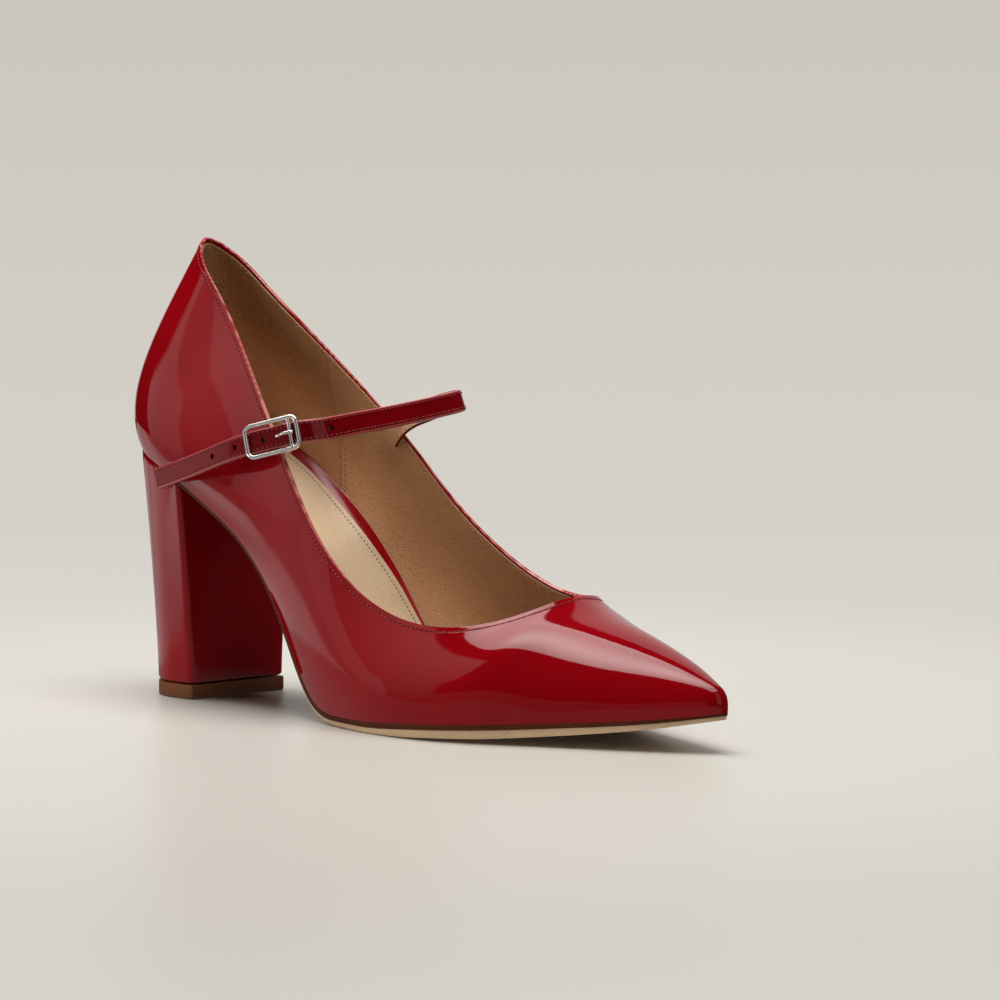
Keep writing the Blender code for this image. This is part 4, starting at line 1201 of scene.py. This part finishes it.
sole_x, sole_thickness = np.array(SOLE_LAYER).T
tread_x, tread_thickness = np.array(FOREPART_LAYER).T
sole = bottom_layer("outsole", 0.0, lambda x: GLUE_LINE,
                    lambda x: np.interp(x, sole_x, sole_thickness), HEEL_BREAST_X + PARTING)
rounded(sole, 0.32, 3)
sole.data.materials.append(leather_paint("dark_edge", (0.060, 0.013, 0.006),
                                         (0.095, 0.028, 0.013), 2600.0, 0.03, 0.4, 0.10)[0])
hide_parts("sole")
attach(sole, "root")

tread = bottom_layer("tread", FOREPART_INSET,
                     lambda x: 2 * GLUE_LINE + np.interp(x, sole_x, sole_thickness),
                     lambda x: np.interp(x, tread_x, tread_thickness), tread_x[0])
rounded(tread, 0.2, 2)
tread.data.materials.append(leather_paint("natural_leather", (0.56, 0.39, 0.235),
                                          (0.68, 0.50, 0.32), 1900.0, 0.05, 0.5)[0])
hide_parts("forepart_sole")
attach(tread, "root")

# ---- Strap -----------------------------------------------------------------
# Folded band of the same patent on a tan backing, sewn inside the topline on
# the inner side, its red painted darker as shade on its upturned face and its
# rounded edges painted with a pink highlight. It turns over itself, crosses the
# instep and ends in a slanted tail past the buckle, with five punched holes.
STRAP_WIDTH = 6.6
STRAP_THICKNESS = 1.9
STRAP_TIP_SLANT = 2.2
BACKING = 0.35
BACKING_INSET = 0.35
STRAP_STITCH_MARGIN = 1.05
ROOT_UNSEWN = 3.0
SLANT_REACH = 4.0
HOLES_FROM_TIP = (30.8, 40.7, 50.6, 60.5, 70.4)
HOLE_WIDTH = 1.7
PUNCH = 6.0
BUCKLE_ROW = 13
STRAP_EDGE_HIGHLIGHT = (0.42, 0.085, 0.085)
EDGE_COLUMNS = (2, 3, 4, 11, 12, 13)
SHOULDER = 0.75
TAIL_RINGS = 5
# Middle of the strap, from its root to the tail:
#   x y z  across_x across_y across_z
STRAP_ROUTE = (
    (57.4, 21.0, 77.2, -0.64, -0.2, 0.74),
    (59.5, 21.5, 80.4, -0.64, -0.2, 0.74),
    (61.2, 24.5, 83.3, -0.62, -0.2, 0.76),
    (62.1, 31.5, 85.6, -0.6, -0.2, 0.8),
    (63.0, 39.4, 87.8, -0.5, -0.15, 0.85),
    (65.4, 42.4, 88.6, -0.4, 0.0, 0.9),
    (67.6, 39.6, 88.5, -0.4, 0.0, 0.9),
    (69.6, 31.0, 87.6, -0.4, 0.0, 0.9),
    (71.2, 16.0, 86.0, -0.4, 0.0, 0.9),
    (71.9, 2.0, 84.6, -0.4, 0.0, 0.9),
    (71.8, -10.0, 83.4, -0.35, 0.0, 0.9),
    (70.4, -19.0, 82.4, -0.25, 0.1, 0.95),
    (66.6, -23.6, 81.7, -0.15, 0.1, 1.0),
    (60.5, -26.8, 80.1, -0.1, 0.1, 1.0),
    (54.2, -29.7, 78.4, -0.1, 0.1, 1.0),
    (46.5, -31.0, 76.2, 0.0, 0.1, 1.0),
    (34.0, -30.6, 72.4, 0.0, 0.1, 1.0),
    (21.0, -29.2, 68.8, 0.0, 0.1, 1.0),
    (9.6, -27.4, 66.0, 0.0, 0.1, 1.0),
)


class Route:
    """Path with a direction across it and one out of its face at each point."""

    def __init__(self, points, across, spacing, closed=False):
        self.line = Spline(points, closed=closed)
        if closed:
            across = np.vstack([across, across[:1]])
        self.turns = Spline(across, knots=self.line.knots)
        self.length = self.line.knots[-1]
        count = max(2, round(self.length / spacing))
        where = np.linspace(0.0, self.length, count + 1)
        self.where = where[:-1] if closed else where
        self.points, self.tangents, self.across, self.outward = self.at(self.where)

    def at(self, where):
        points, tangents = self.line.at(where), unit(self.line.rate(where))
        across = self.turns.at(where)
        across = unit(across - np.sum(across * tangents, axis=1, keepdims=True) * tangents)
        return points, tangents, across, np.cross(across, tangents)

    def rings(self, section):
        """The section's (across, outward) points set at every point of the path."""
        return [point + section[:, :1] * across + section[:, 1:] * outward
                for point, across, outward in zip(self.points, self.across, self.outward)]


route_rows = np.array(STRAP_ROUTE)
strap_route = Route(route_rows[:, :3], route_rows[:, 3:], spacing=0.8)


def slanted_tail(rings, section):
    """Shears the last rings so that the tail ends at a slant."""
    for back in range(TAIL_RINGS):
        ease = 1 - back / TAIL_RINGS
        rings[-1 - back] = (rings[-1 - back] + section[:, :1] / STRAP_WIDTH * STRAP_TIP_SLANT
                            * ease * strap_route.tangents[-1 - back])
    return rings


half, face, under = STRAP_WIDTH / 2, STRAP_THICKNESS / 2, -STRAP_THICKNESS / 2
seat = under + BACKING
turns = np.radians(np.linspace(0.0, 90.0, 6))
shoulder = [(half - SHOULDER + SHOULDER * math.cos(t), face - SHOULDER + SHOULDER * math.sin(t))
            for t in turns]
strap_section = np.array([(half, seat + 0.25), *shoulder, (half / 2, face), (0.0, face),
                          (-half / 2, face), *[(-a, b) for a, b in shoulder[::-1]],
                          (-half, seat + 0.25), (-half + 0.12, seat), (half - 0.12, seat)])
strap = stacked("strap_band", slanted_tail(strap_route.rings(strap_section), strap_section))
# Darker red, painted shade, on the strap and its tab.
strap_patent = lacquer("strap_patent", STRAP_RED_SHADED)
strap.data.materials.append(strap_patent)
# Painted highlight: the rounded shoulders of the strap get a pinkish colour.
strap.data.materials.append(lacquer("strap_edge_highlight", STRAP_EDGE_HIGHLIGHT))
for number, polygon in enumerate(strap.data.polygons):
    on_shoulder = number % len(strap_section) in EDGE_COLUMNS
    polygon.material_index = int(on_shoulder and len(polygon.vertices) == 4)
for from_tip in HOLES_FROM_TIP:
    point, _, _, outward = (rows[0] for rows in strap_route.at(strap_route.length - from_tip))
    bpy.ops.object.select_all(action="DESELECT")
    bpy.ops.mesh.primitive_cylinder_add(vertices=24, radius=HOLE_WIDTH / 2 * MM, depth=PUNCH * MM,
                                        location=Vector(point * MM),
                                        rotation=Vector(outward).to_track_quat("Z", "Y").to_euler())
    punch = bpy.context.object
    finish_modifier(strap, "BOOLEAN", object=punch, operation="DIFFERENCE", solver="EXACT")
    bpy.data.objects.remove(punch)
shade(strap, 40)
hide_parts("strap")
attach(strap, "root")

half = STRAP_WIDTH / 2 - BACKING_INSET
backing_section = np.array(((-half, under + 0.12), (-half + 0.12, under), (half - 0.12, under),
                            (half, under + 0.12), (half, seat + 0.1), (-half, seat + 0.1)))
backing = stacked("strap_backing", slanted_tail(strap_route.rings(backing_section),
                                                backing_section))
shade(backing, 40)
backing.data.materials.append(lining_leather)
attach(backing, "root")


def on_strap(where, aside, slant):
    """Places on the strap's face this far to one side, with the tail's slant or a share of it."""
    points, runs, across, outward = strap_route.at(where)
    lead = slant * aside / STRAP_WIDTH * STRAP_TIP_SLANT
    return points + aside * across + runs * lead + face * outward, runs, across, outward


margin = STRAP_WIDTH / 2 - STRAP_STITCH_MARGIN
start, end = ROOT_UNSEWN, strap_route.length - STRAP_STITCH_MARGIN - 0.4
strap_places = []
for side, later in ((-1.0, 0.6), (1.0, 0.0)):
    where = np.arange(end - later, start, -STITCH_PITCH / MM)
    slant = np.clip(1 - (strap_route.length - where) / SLANT_REACH, 0, 1)[:, None]
    points, runs, _, outward = on_strap(where, side * margin, slant)
    strap_places += [(point * MM, run, out) for point, run, out in zip(points, runs, outward)]
for aside in (-margin, 0.0, margin):
    point, run, across, outward = (rows[0] for rows in on_strap(end, aside, 1.0))
    strap_places.append((point * MM, across + run * STRAP_TIP_SLANT / STRAP_WIDTH, outward))
sewn("strap_stitches", strap_places, red_thread)
strap_gaps = [((a[0] + b[0]) / 2, a[1], a[2]) for a, b in zip(strap_places, strap_places[1:])
              if np.linalg.norm(a[0] - b[0]) < 1.2 * STITCH_PITCH]
# Dots of painted shade where the strap's needle holes are.
sewn("strap_hole_shades", strap_gaps, hole_shade, NEEDLE_HOLE)

# ---- Buckle ----------------------------------------------------------------
# Polished silver wire frame with a bar near its toe end that carries a short
# prong, and a second bar under the strap, held by a patent tab on the quarter.
BUCKLE_LENGTH = 17.6
BUCKLE_HEIGHT = 10.4
BUCKLE_CORNER = 2.6
BUCKLE_WIRE = 1.3
BAR_WIRE = 1.1
PRONG_WIRE = 0.9
INNER_BAR_SETBACK = 2.4
TAB_BAR_FORWARD = 2.6
TAB_WIDTH, TAB_THICKNESS, TAB_RISE = 3.8, 0.8, 1.0
# Leg of the tab, from the quarter to the loop round its bar:  forward  outward
TAB_LEG = ((-16.5, -9.5), (-12.5, -7.8), (-8.5, -5.65), (-5.0, -3.5), (-2.0, -1.74),
           (0.4, -1.61))
# Prong from its hook to its tip:  behind the bar, out from the strap's face
PRONG_SHAFT = ((1.9, 2.3), (3.4, 1.25), (4.6, 0.75))

knot = strap_route.line.knots[BUCKLE_ROW]
centre = strap_route.line.at(knot)[0]
forward = -unit(strap_route.line.rate(knot)[0])
up = unit(route_rows[BUCKLE_ROW, 3:] - np.dot(route_rows[BUCKLE_ROW, 3:], forward) * forward)
out = np.cross(forward, up)


def at_buckle(along, rise, depth):
    return centre + forward * along + up * rise + out * depth


def round_section(diameter, sides):
    angles = np.arange(sides) * 2 * math.pi / sides
    return np.stack([np.cos(angles), np.sin(angles)], axis=1) * diameter / 2


def wire_through(name, corners, diameter):
    """Straight runs of wire through corners, mitred where they turn."""
    section = round_section(diameter, 16)
    corners = np.array([at_buckle(*corner) for corner in corners])
    runs = unit(np.diff(corners, axis=0))
    rings = []
    for number, corner in enumerate(corners):
        before, after = runs[max(number - 1, 0)], runs[min(number, len(runs) - 1)]
        mitre = unit(before + after)
        side = np.cross(mitre, forward) / np.dot(mitre, after)
        rings.append(corner + section[:, :1] * forward + section[:, 1:] * side)
    return stacked(name, rings)


half_length = (BUCKLE_LENGTH - BUCKLE_WIRE) / 2
half_height = (BUCKLE_HEIGHT - BUCKLE_WIRE) / 2
frame_level = (STRAP_THICKNESS + BUCKLE_WIRE) / 2 + PARTING
corner = BUCKLE_CORNER - BUCKLE_WIRE / 2
path = []
for turn in np.radians((0.0, 90.0, 180.0, 270.0)):
    side_x = math.copysign(half_length - corner, math.cos(turn + math.pi / 4))
    side_y = math.copysign(half_height - corner, math.sin(turn + math.pi / 4))
    for angle in turn + np.radians(np.linspace(0.0, 90.0, 9)):
        path.append((side_x + corner * math.cos(angle), side_y + corner * math.sin(angle)))
outline = np.array([at_buckle(x, y, frame_level) for x, y in path])
tangents = unit(np.roll(outline, -1, axis=0) - np.roll(outline, 1, axis=0))
wire = round_section(BUCKLE_WIRE, 20)
buckle = stacked("buckle", [point + wire[:, :1] * out + wire[:, 1:] * side
                            for point, side in zip(outline, np.cross(tangents, out))], closed=True)
bar_forward = half_length - INNER_BAR_SETBACK
bar_under = under - 2 * PARTING - TAB_THICKNESS - BAR_WIRE / 2
beside = (STRAP_WIDTH + BAR_WIRE) / 2 + PARTING
for along, corners in (
        (bar_forward, ((-half_height, frame_level), (half_height, frame_level))),
        (TAB_BAR_FORWARD, ((-half_height, frame_level), (-beside, bar_under),
                           (beside, bar_under), (half_height, frame_level)))):
    bar = wire_through("bar", [(along, *corner) for corner in corners], BAR_WIRE)
    finish_modifier(buckle, "BOOLEAN", object=bar, operation="UNION", solver="EXACT")
    bpy.data.objects.remove(bar)
shade(buckle, 35)

silver, tree, shader, place = new_paint("silver_metal")
scuffs = noise(tree, place, 700.0, 4.0, 0.6)
feed(tree, shader, Roughness=spread(tree, scuffs, 0.35, 0.7, (0.10, 0.17)),
     Base_Color=ramp(tree, scuffs, ((0.3, (0.84, 0.81, 0.77)), (0.7, (0.93, 0.91, 0.88)))),
     Normal=bumped(tree, scuffs, 0.001, 0.4))
shader.inputs["Metallic"].default_value = 0.85
buckle.data.materials.append(silver)
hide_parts("buckle_frame")
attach(buckle, "root")


def round_bar(centre, radius, degrees):
    """Points of an arc about a bar:  forward  outward"""
    return [(centre[0] + radius * math.cos(angle), centre[1] + radius * math.sin(angle))
            for angle in np.radians(degrees)]


def beside_bar(path, rise, spacing):
    """Route through points in the buckle's middle plane or beside it."""
    return Route(np.array([at_buckle(along, rise, depth) for along, depth in path]),
                 np.array([up] * len(path)), spacing)


path = round_bar((bar_forward, frame_level), (BAR_WIRE + PRONG_WIRE) / 2 + PARTING,
                 np.arange(30, 91, 20))
path += [(bar_forward - behind, face + outward) for behind, outward in PRONG_SHAFT]
prong = stacked("prong", beside_bar(path, 0.0, 0.25).rings(round_section(PRONG_WIRE, 16)))
rounded(prong, 0.25, 4, 60, 40)
prong.data.materials.append(silver)
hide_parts("buckle_prong")
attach(prong, "root")

loop = round_bar((TAB_BAR_FORWARD, bar_under), (BAR_WIRE + TAB_THICKNESS) / 2 + PARTING,
                 np.arange(90, -151, -40))
half, rise, cut = TAB_WIDTH / 2, TAB_THICKNESS / 2, 0.15
tab_half = ((-half, -rise + cut), (-half + cut, -rise), (half - cut, -rise), (half, -rise + cut))
tab_section = np.array(tab_half + tuple((-a, -b) for a, b in tab_half))
tab = stacked("tab", beside_bar([*TAB_LEG, *loop], TAB_RISE, 0.35).rings(tab_section))
shade(tab, 50)
tab.data.materials.append(strap_patent)
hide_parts("buckle_tab")
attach(tab, "root")

bpy.data.objects.remove(forme)
